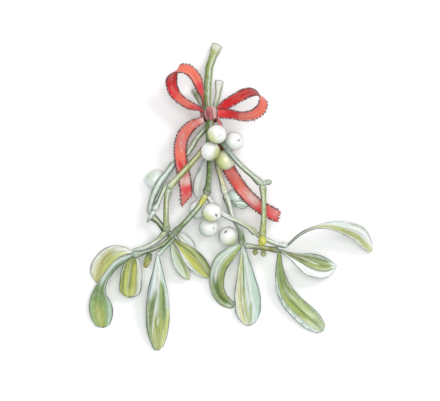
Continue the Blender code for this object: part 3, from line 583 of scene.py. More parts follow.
def node_rings(node):
    """The node's two poles and the rings between them, from its base to its tip. The rings are the
    sets of points that are one, two, three and so on edges away from a pole."""
    sides = RING_SIDES[node[:4]]
    points, linked = node_mesh(node)
    for pole in np.flatnonzero(linked.sum(axis=1) == sides):
        reached = np.zeros(len(points), bool)
        reached[pole] = True
        levels = [np.array([pole])]
        while not reached.all():
            front = linked[levels[-1]].any(axis=0) & ~reached
            if not front.any():
                break
            reached |= front
            levels.append(np.flatnonzero(front))
        counts = {len(level) for level in levels[1:-1]}
        if counts == {sides} and len(levels[-1]) == 1 and reached.all():
            break
    else:
        raise RuntimeError(f"the packed node {node} has no rings of {sides} between two poles")
    if points[levels[0]][0, 1] < points[levels[-1]][0, 1]:
        levels = levels[::-1]
    return points[levels[0]], np.array([points[level] for level in levels[1:-1]]), points[levels[-1]]


class Spine:
    """A node's middle line with its widths and facing, ring by ring, ready to be sampled finely.

    `side` is the direction of a ring's width, `face` the direction its good face turns to, `half`
    its half-width and `lead` how far its +side edge is ahead of its middle."""

    def __init__(self, node, facing=None):
        first, rings, last = node_rings(node)
        self.centre = rings.mean(axis=1)
        gaps = np.linalg.norm(np.diff(self.centre, axis=0), axis=1)
        self.along = np.concatenate([[0.0], np.cumsum(gaps)])
        self.length = self.along[-1]
        line = np.vstack([first, self.centre, last])
        self.tangent = unit(line[2:] - line[:-2])
        self.reach = (np.linalg.norm(first - self.centre[0]), np.linalg.norm(last - self.centre[-1]))
        offsets = rings - self.centre[:, None]
        self.radius = np.linalg.norm(offsets, axis=2).mean(axis=1)
        if facing is not None:
            self.read_widths(self.turned(offsets), facing)

    def turned(self, offsets):
        """The rings' points in the order of their turn about the line, backwards."""
        tangent = self.tangent[:, None]
        flat = offsets - (offsets * tangent).sum(axis=2, keepdims=True) * tangent
        zero = unit(flat[:, 0])
        quarter = np.cross(self.tangent, zero)
        angles = np.arctan2((flat * quarter[:, None]).sum(axis=2), (flat * zero[:, None]).sum(axis=2))
        order = np.argsort(-angles, axis=1)
        return np.take_along_axis(offsets, order[..., None], axis=1)

    def width_vector(self, ring):
        """From a ring's middle to its +side edge."""
        return (ring[0] - ring[4]) / 2 if len(ring) == 8 else (ring[0] + ring[3] - ring[1] - ring[2]) / 4

    def read_widths(self, rings, facing):
        """Numbers the points of the widest ring from its +side edge, then each ring like its neighbour."""
        sides = rings.shape[1]
        spans = [[np.linalg.norm(self.width_vector(np.roll(ring, -turn, axis=0))) for turn in range(sides)]
                 for ring in rings]
        widest = int(np.argmax(np.max(spans, axis=1)))
        ring = np.roll(rings[widest], -int(np.argmax(spans[widest])), axis=0)
        outward = facing(self, widest)
        if np.cross(self.width_vector(ring), self.tangent[widest]) @ outward < 0:
            ring = np.roll(ring, sides // 2, axis=0)
        numbered = {widest: ring}
        for places in (range(widest + 1, len(rings)), range(widest - 1, -1, -1)):
            before = ring
            for place in places:
                turns = [np.roll(rings[place], turn, axis=0) for turn in range(sides)]
                before = min(turns, key=lambda turn: float(((turn - before) ** 2).sum()))
                numbered[place] = before
        widths = np.array([self.width_vector(numbered[place]) for place in range(len(rings))])
        self.lead = (widths * self.tangent).sum(axis=1)
        square = widths - self.lead[:, None] * self.tangent
        self.half = np.linalg.norm(square, axis=1)
        self.side = unit(square)

    def sample(self, wanted, guide=None):
        """Centre, tangent, side and face at the wanted distances. The line goes on straight past
        its ends. A guide, where one is given, sets the facing instead of the node's own."""
        knots = self.knots_past_ends()
        centre = np.vstack([self.centre[0] - RUN_ON * self.tangent[0], self.centre,
                            self.centre[-1] + RUN_ON * self.tangent[-1]])
        middle = smooth_through(knots, centre, wanted)
        before, after = (smooth_through(knots, centre, wanted + nudge) for nudge in (-NUDGE, NUDGE))
        tangent = unit(after - before)
        if guide is None:
            side = smooth_through(knots, self.side[[0, *range(len(self.side)), -1]], wanted)
            side = unit(side - (side * tangent).sum(axis=1, keepdims=True) * tangent)
        else:
            side = unit(np.cross(tangent, guide))
        return middle, tangent, side, np.cross(side, tangent)

    def knots_past_ends(self):
        """The rings' distances, with one more before the first and one more after the last."""
        return np.concatenate([[-RUN_ON], self.along, [self.length + RUN_ON]])

    def rows(self, before, after, step, crowding):
        """Distances from `before` the first ring to `after` the last, closer at both ends."""
        start, end = -before, self.length + after
        plain = np.linspace(start + crowding[-1], end - crowding[-1],
                            max(4, round((end - start - 2 * crowding[-1]) / step)))
        return np.concatenate([start + crowding[:-1], plain, end - crowding[-2::-1]])


def upward(spine, place):
    """The facing of what lies flat: its good face is up."""
    return UP


def away_from_middle(spine, place):
    """The facing of what goes round: its good face is on the outside."""
    return spine.centre[place] - spine.centre.mean(axis=0)


# ------------------------------------------------------------------ building meshes


class Shell:
    """Points with their paint and flow, and the faces between them."""

    def __init__(self, points, quads, triangles, paint, flow):
        self.points, self.quads, self.triangles = points, quads, triangles
        self.paint, self.flow = paint, flow


def swept(centre, side, face, across, lift, paint, flow, tangent=None, ahead=None):
    """Closed surfaces swept along paths: point = centre + across * side + lift * face, and
    + ahead * tangent where given. The first axis counts the paths, the second their rows and the
    third the columns, which wrap round. A fan closes each end at the middle of its last row."""
    grid = centre[:, :, None] + across[..., None] * side[:, :, None] + lift[..., None] * face[:, :, None]
    if ahead is not None:
        grid = grid + ahead[..., None] * tangent[:, :, None]
    paths, rows, columns, _ = grid.shape
    stacked = []
    for values in (grid, np.broadcast_to(paint, grid.shape), np.broadcast_to(flow, grid.shape)):
        poles = values[:, [0, -1]].mean(axis=2)
        stacked.append(np.concatenate([values.reshape(paths, -1, 3), poles], axis=1).reshape(-1, 3))
    index = np.arange(rows * columns).reshape(rows, columns)
    after = np.roll(index, -1, axis=1)
    quads = np.stack([index[:-1], index[1:], after[1:], after[:-1]], axis=-1).reshape(-1, 4)
    pole = np.full(columns, rows * columns)
    fans = np.concatenate([np.stack([pole, index[0], after[0]], axis=-1),
                           np.stack([pole + 1, after[-1], index[-1]], axis=-1)])
    block = (np.arange(paths) * (rows * columns + 2))[:, None, None]
    points = stacked[0]
    quads = (quads + block).reshape(-1, 4)
    fans = (fans + block).reshape(-1, 3)
    a, b, c, d = (points[corner] for corner in quads.T)
    volume = (np.cross(a, b) * c).sum() + (np.cross(a, c) * d).sum()
    a, b, c = (points[corner] for corner in fans.T)
    volume += (np.cross(a, b) * c).sum()
    if volume < 0:
        quads, fans = quads[:, ::-1], fans[:, ::-1]
    return Shell(points, quads, fans, stacked[1], stacked[2])


def swept_once(line, across, lift, paint, flow, ahead=None):
    """One surface swept along one line, given as its centre, tangent, side and face."""
    centre, tangent, side, face = (part[None] for part in line)
    if ahead is not None:
        ahead = ahead[None]
    return swept(centre, side, face, across[None], lift[None], paint[None], flow[None], tangent, ahead)


def flow_of(across, lift, along):
    """What patterns are laid by: centimetres across a piece, off it and along it."""
    return np.stack([across, lift, along * np.ones_like(across)], axis=-1) / CM


def joined(shells):
    """Several shells as one."""
    starts = np.concatenate([[0], np.cumsum([len(shell.points) for shell in shells])])
    return Shell(np.concatenate([shell.points for shell in shells]),
                 np.concatenate([shell.quads + start for shell, start in zip(shells, starts)]),
                 np.concatenate([shell.triangles + start for shell, start in zip(shells, starts)]),
                 np.concatenate([shell.paint for shell in shells]),
                 np.concatenate([shell.flow for shell in shells]))


def make_piece(name, shell, material, slot, *nodes):
    """Puts a shell into a mesh object that rides on the body and stands for its nodes."""
    points = shell.points.copy()
    points[:, 2] = np.maximum(points[:, 2], TABLE_CLEARANCE)
    mesh = bpy.data.meshes.new(name)
    mesh.from_pydata(points, [], shell.quads.tolist() + shell.triangles.tolist())
    rgba = np.ones((len(points), 4), np.float32)
    rgba[:, :3] = np.clip(PAINT_DEPTH * shell.paint, 0.0, 1.0)
    mesh.attributes.new("paint", "FLOAT_COLOR", "POINT").data.foreach_set("color", rgba.ravel())
    flow = shell.flow.astype(np.float32).ravel()
    mesh.attributes.new("flow", "FLOAT_VECTOR", "POINT").data.foreach_set("vector", flow)
    mesh.shade_smooth()
    mesh.materials.append(material)
    piece = bpy.data.objects.new(name, mesh)
    bpy.context.scene.collection.objects.link(piece)
    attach(piece, BODY)
    if nodes:
        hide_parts(*nodes)
    return piece


def turns_of(columns):
    """The angles of the columns round a line, spaced evenly."""
    return np.arange(columns) * 2 * math.pi / columns


def strip_columns(columns, roundness):
    """The columns of a flat strip: c runs from 1 to -1 over one face and back over the other, and is
    a cosine by the share of the roundness and even by the rest. Then 1 or -1 for each one's face."""
    turn = turns_of(columns)
    even = np.where(turn <= math.pi, 1 - 2 * turn / math.pi, 2 * turn / math.pi - 3)
    c = roundness * np.cos(turn) + (1 - roundness) * even
    return c[None], np.where((turn > 0) & (turn < math.pi), 1.0, -1.0)[None]


# ------------------------------------------------------------------ stems


# the distances of the crowded rows from a rounded end
ROUND_ROWS = np.array([0.004, 0.03, 0.09, 0.18, 0.30, 0.46]) * MM
STEM_COLUMNS = 40
# how much fuller than its packed ring a stem is at a joint, by its section's area
JOINT_FULLNESS = 1.25
# what lies about a joint: how many millimetres from it, and how broad
COLLAR = (2.0, 0.55)
NECK = (2.9, 0.4)
CREASE = (2.75, 0.28)
SEAM = (0.0, 2.2)
# the ridges round a stem: height, how many, how far each wanders along it, and its phase
RIDGES = ((0.42, 3, 3.0, 1), (0.5, 5, -1.0, 2), (0.5, 8, 3.2, 3), (0.35, 13, 2.0, 0))
# a cut face: its rings as shares of its radius, its height, and the rows on the bark beside it
CUT_FACE_SHARES = np.array([0.03, 0.14, 0.28, 0.42, 0.56, 0.70, 0.82, 0.92])
CUT_FACE_HEIGHT = 0.25 * MM
CUT_RIM_ROWS = np.array([0.0, 0.05, 0.12]) * MM
CUT_RIM_END = 0.2 * MM


def stem_radii(spine, wanted, reach, cut):
    """Radius along a stem: the square of the rings' radii, smoothly joined and falling to nothing
    at a rounded end, so that the end closes like a ball."""
    knots = [*spine.along, spine.length + reach]
    squares = [*spine.radius ** 2, 0.0]
    squares[-2] *= JOINT_FULLNESS
    if not cut:
        knots.insert(0, -reach)
        squares[0] *= JOINT_FULLNESS
        squares.insert(0, 0.0)
    return root_through(knots, squares, wanted)


def stem_paint(node, spine, s, turn, ridges):
    """The stem's three tones along its length, its washes with their painted highlights and shade, patches
    of olive and moss, and painted shade in the grooves between the ridges."""
    seed = seed_of(node)
    names, washes = STEM_LOOKS[node]
    share = s * MM / spine.length
    place = np.clip(share + 0.05 * ripple(s / 5.0, np.cos(turn), seed + 3), 0, 1)
    paint = blended([bunch_tone(tone) for tone in names], (0.0, 0.5, 1.0), place)
    patches = ripple(s / 4.0, 1.7 * np.cos(turn + 1.0), seed + 5)
    paint = washed(paint, bunch_tone("olive"), 0.30 * rise(patches, 0.1, 0.9))
    patches = ripple(s / 7.0, 1.4 * np.cos(turn), seed + 21)
    paint = washed(paint, bunch_tone("moss"), 0.25 * rise(patches, 0.2, 0.9))
    paint = with_washes(paint, washes, share, -np.cos(turn), s, seed)
    # painted shade: the grooves between the ridges are darkened
    return washed(paint, bunch_tone("ink"), 0.28 * rise(-ridges, 0.5, 1.6))


def with_sides(paint, s, turn, radii, seed, settings):
    """The paint with painted shade: a broken dark line of even breadth down each side of the stem."""
    broken = ripple(s / 3.5, 3 * np.sign(np.cos(turn)), seed + 15)
    inside = radii * (1 - np.abs(np.cos(turn)))
    breadth = settings.line * (1 + 0.4 * broken)
    # painted shade along both sides of the stem
    line = 1 - rise(inside, 0.25 * breadth, 1.1 * breadth)
    return washed(paint, bunch_tone("ink"), settings.outline * (0.8 + 0.2 * broken) * line)


def cut_face(rim, turn):
    """The face of a cut stem, rings of wood about a dark pith: across it, how far it stands out,
    which is a dome with ripples and a dimple in the middle, and its paint."""
    shares = CUT_FACE_SHARES[:, None]
    rings = 0.5 + 0.5 * np.cos(26 * shares + 0.6 * np.cos(3 * turn))
    dimple = 0.3 * MM * hump(shares, 0.0, 0.16)
    depth = CUT_FACE_HEIGHT * (1 - shares ** 6) * (0.8 + 0.15 * rings) - dimple
    wood = np.broadcast_to(bunch_tone("wood"), rings.shape + (3,))
    wood = washed(wood, bunch_tone("straw"), 0.6 * rings)
    wood = washed(wood, bunch_tone("ochre"), 0.8 * hump(shares, 0.0, 0.14) * np.ones_like(rings))
    return rim * shares, depth, wood


def stem_shell(node, settings):
    """A bark surface: radius * (1 + ridges + collars) about the stem's line. The ridges are cosine
    waves round the stem that wander slowly along it, and a collar is a bell-shaped swelling near
    each joint with a neck and a dark crease behind it. A cut stem begins with a flat face of rings."""
    spine = Spine(node)
    cut = node in CUT_STEMS
    seed = seed_of(node)
    along = spine.rows(settings.reach, settings.reach, settings.step, ROUND_ROWS)
    if cut:
        along = np.concatenate([CUT_RIM_ROWS, along[along > CUT_RIM_END]])
    radius = stem_radii(spine, along, settings.reach, cut)
    line = spine.sample(along, STEM_GUIDE)
    turn = turns_of(STEM_COLUMNS)[None]
    s = along[:, None] / MM
    wander = 0.5 * ripple(s / 9.0, turn * 0, seed)
    ridges = sum(height * np.cos(count * turn + drift * wander + phase * seed)
                 for height, count, drift, phase in RIDGES)
    ridges = ridges + 0.5 * ripple(s / 1.6, 3 * np.cos(turn), seed + 1)
    lobes = 0.72 + 0.28 * np.cos(2 * turn + seed)
    start = (along + settings.reach)[:, None] / MM
    end = (spine.length + settings.reach - along)[:, None] / MM
    collars = creases = seams = 0.0
    for distance in (end,) if cut else (start, end):
        collars = collars + lobes * hump(distance, *COLLAR) - 0.55 * hump(distance, *NECK)
        creases = creases + hump(distance, *CREASE) * lobes * rise(np.cos(turn + seed), -0.6, 0.5)
        seams = seams + hump(distance, *SEAM)
    radii = radius[:, None] * (1 + settings.ridge * ridges + settings.collar * collars)
    even = np.ones_like(radii)
    paint = stem_paint(node, spine, s, turn, ridges)
    paint = washed(paint, bunch_tone("frost"), 0.35 * seams * even)
    paint = washed(paint, bunch_tone("ink"), 0.40 * creases * even)
    paint = with_sides(paint, s, turn, np.maximum(radii, spine.radius.min()), seed, settings)
    across, lift = radii * np.cos(turn), radii * np.sin(turn)
    flow = flow_of(across, lift, along[:, None])
    if not cut:
        return swept_once(line, across, lift, paint, flow)
    ragged = s + 1.6 * ripple(2 * np.cos(turn), 0, seed)
    paint = washed(paint, bunch_tone("wood"), 0.7 * (1 - rise(ragged, 0.6, 4.2)))
    paint = washed(paint, bunch_tone("ink"), 0.7 * hump(s, 0.25, 0.30) * even)
    reach, depth, wood = cut_face(radii[:1], turn)
    count = len(depth)
    line = [np.concatenate([np.repeat(part[:1], count, axis=0), part]) for part in line]
    across = np.concatenate([reach * np.cos(turn), across])
    lift = np.concatenate([reach * np.sin(turn), lift])
    ahead = np.concatenate([-depth, np.zeros_like(radii)])
    flow = np.concatenate([flow_of(across[:count], lift[:count], -depth), flow])
    return swept_once(line, across, lift, np.concatenate([wood, paint]), flow, ahead)


# ------------------------------------------------------------------ leaves


LEAF_COLUMNS = 96
# a leaf's width at its joint, as a share of its first ring's
BASE_WIDTH = 0.55
# its tip is round over this share of its half-width
TIP_ROUNDING = 0.5
# the distances of its crowded rows from either end
LEAF_CROWDING = np.array([0.006, 0.04, 0.11, 0.22, 0.38, 0.60, 0.85]) * MM
# where its side veins lie, from 0 at the midrib to 1 at a margin
VEIN_PLACES = (-0.72, -0.38, 0.38, 0.72)
# the share of its half-width by which its margins stand above its middle
LEAF_CUP = 0.12
LEAF_CUPS = {"leaf_left_droop": 0.15, "leaf_right_arch": 0.15}


def leaf_outline(spine, along, settings):
    """Half the width and half the thickness along a leaf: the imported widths, drawn in to the joint
    at the base and rounded at the tip."""
    tip = spine.reach[1]
    knots = [-settings.base_reach, *spine.along, spine.length + tip]
    squares = [(BASE_WIDTH * spine.half[0]) ** 2, *spine.half ** 2, 0.0]
    from_base, to_tip = along + settings.base_reach, spine.length + tip - along
    half = root_through(knots, squares, along) * rounded(from_base, 0.5 * MM)
    rounding = np.clip(to_tip / (TIP_ROUNDING * half.max()), 0, 1)
    half *= (1 - (1 - rounding) ** 2.4) ** 0.5 + 1e-4
    ends = rounded(from_base, 0.7 * MM) * rounded(to_tip, 1.6 * MM)
    thinning = 1.12 - 0.30 * np.clip(along / spine.length, 0, 1)
    return half[:, None], (0.5 * settings.thickness * thinning * ends)[:, None]


def leaf_shell(node, settings):
    """A thick leaf: across = half-width * c and lift = half-thickness * (1 - |c|^2.6)^0.5 on either
    face, where c runs from 1 at the right margin to -1 at the left and back. To the lift are added
    the cup, which rises with c squared, the groove of the midrib and the finer ones of four long
    veins, and a slow wave of the blade and its margins."""
    spine = Spine(node, upward)
    seed = seed_of(node)
    along = spine.rows(settings.base_reach, spine.reach[1], settings.step, LEAF_CROWDING)
    half, thick = leaf_outline(spine, along, settings)
    c, upper = strip_columns(LEAF_COLUMNS, 0.45)
    body = (1 - np.minimum(np.abs(c), 1.0) ** 2.6) ** 0.5
    u, s = np.clip(along / spine.length, 0, 1)[:, None], along[:, None] / MM
    margins = 1 + 0.022 * ripple(s / 5.0, np.sign(c) * 2.0, seed, 4) * c ** 2
    across = half * c * margins
    mm_across = across / MM
    fade = rise(u, 0.02, 0.12) * (1 - 0.8 * rise(u, 0.7, 1.0))
    rib = settings.rib * hump(mm_across, 0, 0.42) * fade
    veins = sum(hump(c + 0.02 * np.sin(s / 6 + seed), place, 0.035) for place in VEIN_PLACES)
    veins = settings.vein * veins * rise(u, 0.03, 0.2) * (1 - rise(u, 0.82, 0.98))
    cup = LEAF_CUPS.get(node, LEAF_CUP) * half * (c ** 2 - 0.5)
    swing = np.sin(s / 6.5 + seed) * c * 0.8 + np.sin(s / 3.6 + 2 * seed) * c ** 2 * np.sign(c) * 0.45
    wave = settings.wave * rise(u, 0.05, 0.3) * swing
    wrinkles = 0.03 * MM * ripple(mm_across * 2.6, s / 5.0, seed + 7) * body
    lift = (upper * thick * body + cup + wave - rib - 0.6 * rib * (upper < 0)
            - veins * (upper > 0) + wrinkles * upper)
    notch = NOTCHED_TIPS.get(node, 0.0)
    ahead = -notch * MM * hump(c, 0.1, 0.34) * rise(u, 0.86, 1.0)
    ahead = ahead + 0.40 * MM * ripple(c * 6.0, 0, seed + 9) * rise(u, 0.9, 1.0)
    paint = leaf_paint(node, u, -c, upper, s, veins, rib, settings)
    from_sides = half * (1 - np.abs(c)) * margins
    from_tip = (spine.length + spine.reach[1] - along)[:, None] * (1.2 + 1.4 * hump(c, 0, 0.5))
    inside = np.minimum(from_sides, from_tip)
    paint = with_margin(paint, inside, s, c, seed, settings)
    flow = flow_of(across, lift, along[:, None])
    return swept_once(spine.sample(along), across, lift, paint, flow, ahead)


def with_washes(paint, washes, along, across, millimetres, seed):
    """The paint with washes laid over it. A wash is a band that rises where it starts and falls
    where it ends, flat across its breadth, its ends and sides broken up by streaks."""
    streaks = ripple(across * 9.0, millimetres / 14.0, seed + 11)
    drift = ripple(across * 2.0, millimetres / 7.0, seed + 13)
    u = along + 0.05 * streaks + 0.03 * drift
    for number, wash in enumerate(washes):
        tone, start, end, at_start, at_end, wide_start, wide_end, strength = wash
        share = np.clip((along - start) / (end - start), 0, 1)
        middle = at_start + (at_end - at_start) * share + 0.04 * ripple(millimetres / 5.0, 0, seed + number)
        breadth = wide_start + (wide_end - wide_start) * share
        soft = min(0.07, 0.35 * (end - start))
        mask = rise(u, start - soft, start + soft) * (1 - rise(u, end - soft, end + soft))
        distance = np.abs(across - middle) / breadth * (1 + 0.10 * drift)
        mask = mask * np.exp(-distance ** 4) * (0.90 + 0.10 * streaks)
        paint = washed(paint, bunch_tone(tone), strength * mask)
    return paint


def leaf_paint(node, along, across, upper, millimetres, veins, rib, settings):
    """The leaf's washes over its ground tone, long brush strokes of moss and white over them, a
    greyer underside and a darker midrib."""
    seed = seed_of(node)
    ground, washes = LEAF_WASHES[node]
    shape = np.broadcast_shapes(along.shape, across.shape)
    paint = np.broadcast_to(bunch_tone(ground), shape + (3,))
    # the washes carry painted highlights and painted shade
    paint = with_washes(paint, washes, along, across, millimetres, seed)
    dark = rise(ripple(across * 13.0, millimetres / 18.0, seed + 19), 0.25, 0.9)
    light = rise(ripple(across * 10.0, millimetres / 12.0, seed + 23), 0.3, 0.95)
    strokes = settings.strokes * STROKES.get(node, 1.0)
    paint = washed(paint, bunch_tone("moss"), strokes * dark)
    paint = washed(paint, bunch_tone("white"), strokes * light)
    dots = rise(ripple(across * 15.0, millimetres * 1.1, seed + 31, 6, 0.9), 0.25, 0.7)
    dots = dots * rise(np.abs(across), 0.45, 0.75)
    paint = washed(paint, bunch_tone("slate"), SPECKLES.get(node, settings.speckles) * dots)
    under = washed(paint, bunch_tone("sage"), 0.45 * np.ones(shape))
    paint = np.where((upper < 0)[..., None], under, paint)
    paint = washed(paint, bunch_tone("frost"), 0.05 * veins / settings.vein * (upper > 0))
    return washed(paint, bunch_tone("moss"), 0.25 * rib / settings.rib)


def with_margin(paint, inside, millimetres, c, seed, settings):
    """The paint with a dark line of even breadth along the margin, thinner and paler in places."""
    broken = ripple(millimetres / 4.0, 2.5 * np.sign(c), seed + 17)
    breadth = settings.margin * (1.0 + 0.5 * broken)
    line = 1 - rise(inside, 0.35 * breadth, 1.15 * breadth + 0.1 * MM)
    return washed(paint, bunch_tone("ink"), (0.80 + 0.20 * broken) * line)


# ------------------------------------------------------------------ berries and buds


# a berry's rows round its eye and over the rest of it
BERRY_ROWS = (14, 44)
BERRY_COLUMNS = 56
CUP_COLUMNS = 32
# the rows of a cup, as shares of the way from its middle to its rim
CUP_ROWS = np.array([0.03, 0.3, 0.6, 0.85, 0.97])[:, None]
# how far a bud goes on into its joint and past its last ring, and the distance between its rows
BUD_BASE = 1.3 * MM
BUD_TIP = 0.45 * MM
BUD_STEP = 0.14 * MM
# where a bud's shoulder is, and its section there as a share of the largest
BUD_SHOULDER = (-0.7 * MM, 0.55)


def berry_axes(node):
    """The berry's middle, its radius and three square directions, the last from its seat to its eye."""
    first, rings, last = node_rings(node)
    eye, seat = (first[0], last[0]) if first[0, 2] > last[0, 2] else (last[0], first[0])
    axis = unit(eye - seat)
    side = unit(np.cross(axis, (0.2, 1.0, 0.1)))
    radius = np.linalg.norm(rings - (eye + seat) / 2, axis=2).min()
    return (eye + seat) / 2, radius, side, np.cross(side, axis), axis


def round_shell(middle, side, face, axis, polar, reach, turn, paint):
    """A surface about a point: `reach` away from it in the direction at the angle `polar` from the
    axis and `turn` about it."""
    rows = len(polar)
    across = reach * np.sin(polar) * np.cos(turn)
    lift = reach * np.sin(polar) * np.sin(turn)
    ahead = reach * np.cos(polar)
    line = [np.broadcast_to(vector, (rows, 3)) for vector in (middle, axis, side, face)]
    return swept_once(line, across, lift, paint, flow_of(across, lift, ahead), ahead)


def berry_shell(node, settings):
    """Nearly a ball: radius * (1 + faint meridians + a low ring round the sunken eye), a little
    longer from seat to eye than across."""
    middle, radius, side, face, axis = berry_axes(node)
    seed = seed_of(node)
    size = settings.eye_size
    near = np.linspace(0.02, 3.2 * size, BERRY_ROWS[0])
    far = np.linspace(near[-1] + 0.05, math.pi - 0.02, BERRY_ROWS[1])
    polar = np.concatenate([near, far])[:, None]
    turn = turns_of(BERRY_COLUMNS)[None]
    eye = hump(polar, 0, 0.8 * size)
    ring = hump(polar, 1.35 * size, 0.35 * size)
    lobes = 0.6 + 0.4 * np.cos(4 * turn + seed)
    meridians = 0.003 * np.cos(5 * turn + 0.6 * np.sin(2 * polar) + seed) * np.sin(polar)
    swell = 0.006 * ripple(2 * np.cos(turn) * np.sin(polar), 2 * np.sin(turn) * np.sin(polar), seed, 4)
    dents = 0.018 * ring * lobes - 0.05 * eye
    reach = radius * (1 + 0.035 * np.cos(polar) ** 2 + dents + meridians + swell)
    shares = (np.sin(polar) * np.cos(turn), np.sin(polar) * np.sin(turn),
              np.cos(polar) * np.ones_like(turn))
    outward = sum(share[..., None] * vector for share, vector in zip(shares, (side, face, axis)))
    paint = berry_paint(node, outward, settings)
    dark = BERRY_EYES.get(node, 1.0)
    ragged = polar * (1 + 0.25 * np.cos(2 * turn + seed) + 0.12 * np.cos(5 * turn))
    dots = hump(polar, 2.0 * size, 0.28 * size) * rise(np.cos(4 * turn + seed), 0.85, 0.98)
    paint = washed(paint, linear(settings.eye), 0.5 * dark * dots)
    paint = washed(paint, linear(settings.eye), 0.9 * dark * rise(-ragged, -1.15 * size, -0.45 * size))
    return round_shell(middle, side, face, axis, polar, reach, turn, paint)


def berry_paint(node, outward, settings):
    """The berry's skin, washed with a green tint as painted shade on one side, greyer below as painted
    shade, and with a broken dark line round the waist that is painted shade at its sides. Outward is each
    point's direction from the middle."""
    seed = seed_of(node)
    skin, tint, strength = BERRY_TINTS[node]
    paint = np.broadcast_to(bunch_tone(skin), outward.shape)
    low = outward @ unit(np.array(BERRY_SHADES.get(node, BERRY_SHADE)))
    cloud = 0.12 * ripple(3 * outward[..., 0], 3 * outward[..., 1] + outward[..., 2], seed + 2)
    # painted shade: a green tint, deepened with olive, on one side of the berry
    paint = washed(paint, bunch_tone(tint), strength * rise(low + cloud, 0.0, 0.95))
    paint = washed(paint, bunch_tone("olive"), 0.30 * strength * rise(low + cloud, 0.6, 1.1))
    height = outward[..., 2]
    # painted shade: greyer on the underside
    paint = washed(paint, bunch_tone("sage"), 0.5 * rise(-height, -0.05, 0.6))
    # painted shade: a broken dark line round the berry's sides, where they turn down
    broken = ripple(2.5 * outward[..., 0], 2.5 * outward[..., 1], seed + 4)
    upper_edge = 0.38 + 0.10 * broken
    waist = rise(height, -0.40, -0.05) * (1 - rise(height, upper_edge - 0.12, upper_edge + 0.10))
    rim = settings.rim * BERRY_RIMS.get(node, BERRY_RIM) * (0.8 + 0.2 * broken)
    return washed(paint, bunch_tone("ink"), rim * waist)


def cup_shell(node, settings):
    """A small four-lobed cup at the berry's seat: from the seat out to a rim whose angle swings four
    times round, and back just inside the berry's skin."""
    middle, radius, side, face, axis = berry_axes(node)
    seed = seed_of(node)
    turn = turns_of(CUP_COLUMNS)[None]
    rim = settings.cup_size * (0.80 + 0.34 * np.cos(4 * turn + seed))
    share = CUP_ROWS
    outer, inner = share * rim, share[::-1] * rim
    polar = math.pi - np.concatenate([outer, rim * np.ones((1, 1)), inner])
    lengths = radius * 1.035 + MM * np.concatenate([0.55 - 0.42 * share ** 2, [[0.02]], -0.35 + 0 * share])
    paint = np.broadcast_to(bunch_tone("moss"), polar.shape + (3,))
    paint = washed(paint, bunch_tone("olive"), 0.7 * rise((math.pi - polar) / rim, 0.3, 0.9))
    return round_shell(middle, side, face, axis, polar, lengths * np.ones_like(polar), turn, paint)


def bud_shell(node):
    """A pointed bud: radius * (1 + scales), where the scales are two pairs of crossed lobes that
    overlap like folded hands, each with a thin dark rim."""
    spine = Spine(node)
    seed = seed_of(node)
    along = spine.rows(BUD_BASE, BUD_TIP, BUD_STEP, ROUND_ROWS)
    knots = [-BUD_BASE, BUD_SHOULDER[0], *spine.along, spine.length + BUD_TIP]
    largest = spine.radius.max()
    squares = [0.0, BUD_SHOULDER[1] * largest ** 2, *(largest ** 2 * (spine.radius / largest) ** 1.4), 0.0]
    radius = root_through(knots, squares, along)
    turn = turns_of(STEM_COLUMNS)[None]
    share = (along / spine.length)[:, None]
    edge = 0.45 + 0.28 * np.cos(2 * turn + seed)
    outer_scale = 1 - rise(share, edge - 0.05, edge + 0.03)
    cleft = hump(np.cos(turn + 0.5 * seed), 0, 0.10) * rise(share, 0.4, 0.7)
    radii = radius[:, None] * (1 + 0.10 * outer_scale - 0.10 * cleft + 0.02 * np.cos(9 * turn + seed))
    tones = [bunch_tone(tone) for tone in BUD_TONES[node]]
    paint = blended(tones, (0.0, 0.55, 1.0), np.clip(share, 0, 1)) * np.ones((1, STEM_COLUMNS, 1))
    paint = washed(paint, bunch_tone("ink"), 0.7 * hump(share, edge, 0.07))
    # painted shade in the cleft between the scales
    paint = washed(paint, bunch_tone("ink"), 0.6 * cleft)
    across, lift = radii * np.cos(turn), radii * np.sin(turn)
    flow = flow_of(across, lift, along[:, None])
    return swept_once(spine.sample(along, STEM_GUIDE), across, lift, paint, flow)


# ------------------------------------------------------------------ ribbon


RIBBON_COLUMNS = 56
# the distances of its crowded rows from either end
RIBBON_CROWDING = np.array([0.01, 0.06, 0.15, 0.3]) * MM
# half of the ribbon's full width
FULL_HALF = 3.0 * MM
# how far across the half-width the picots' feet stand
FOOT_PLACE = 0.93
# the places along a picot's arch, from 0 at one foot to 1 at the other and a little past both, and
# the share of its thickness at each
PICOT_ARC = np.linspace(-0.15, 1.15, 7)
PICOT_THICKNESS = np.array([0.8, 1, 1, 1, 1, 1, 0.8])[None, :, None]
FRINGE_THREADS = 22
# the shortest and longest of them in millimetres, and the places along each
FRINGE_LENGTHS = (0.7, 1.9)
FRINGE_SHARES = np.linspace(0, 1, 5)[None, :, None]
THREAD_SIDES = 4
# a direction that few threads run along, to take their sides from
THREAD_GUIDE = np.array([0.37, 0.21, 0.9])
# the plain length at each end of a run, without picots
PICOT_MARGIN = 0.6 * MM
# the knot's rows, from -1 at its left end to 1 at its right, and its columns
KNOT_ROWS = np.concatenate([[-1.0, -0.985, -0.95], np.linspace(-0.9, 0.9, 44), [0.95, 0.985, 1.0]])
KNOT_COLUMNS = 48


def ribbon_lines(spine, along):
    """The ribbon's middle, directions, half-width, lead and gather at the given distances. The
    gather is 0 on the full width and rises to 1 where the ribbon is drawn in at the knot."""
    centre, tangent, side, face = spine.sample(along)
    knots = spine.knots_past_ends()
    half, lead = (smooth_through(knots, np.pad(values, 1, "edge"), along, bounded=True)[:, 0]
                  for values in (spine.half, spine.lead))
    gather = rise(1 - half / FULL_HALF, 0.12, 0.50)
    return centre, tangent, side, face, half, lead, gather


def picot_count(spine, settings):
    """How many picot loops an edge of the run has."""
    return int((spine.length - 2 * PICOT_MARGIN) / settings.picot_pitch)


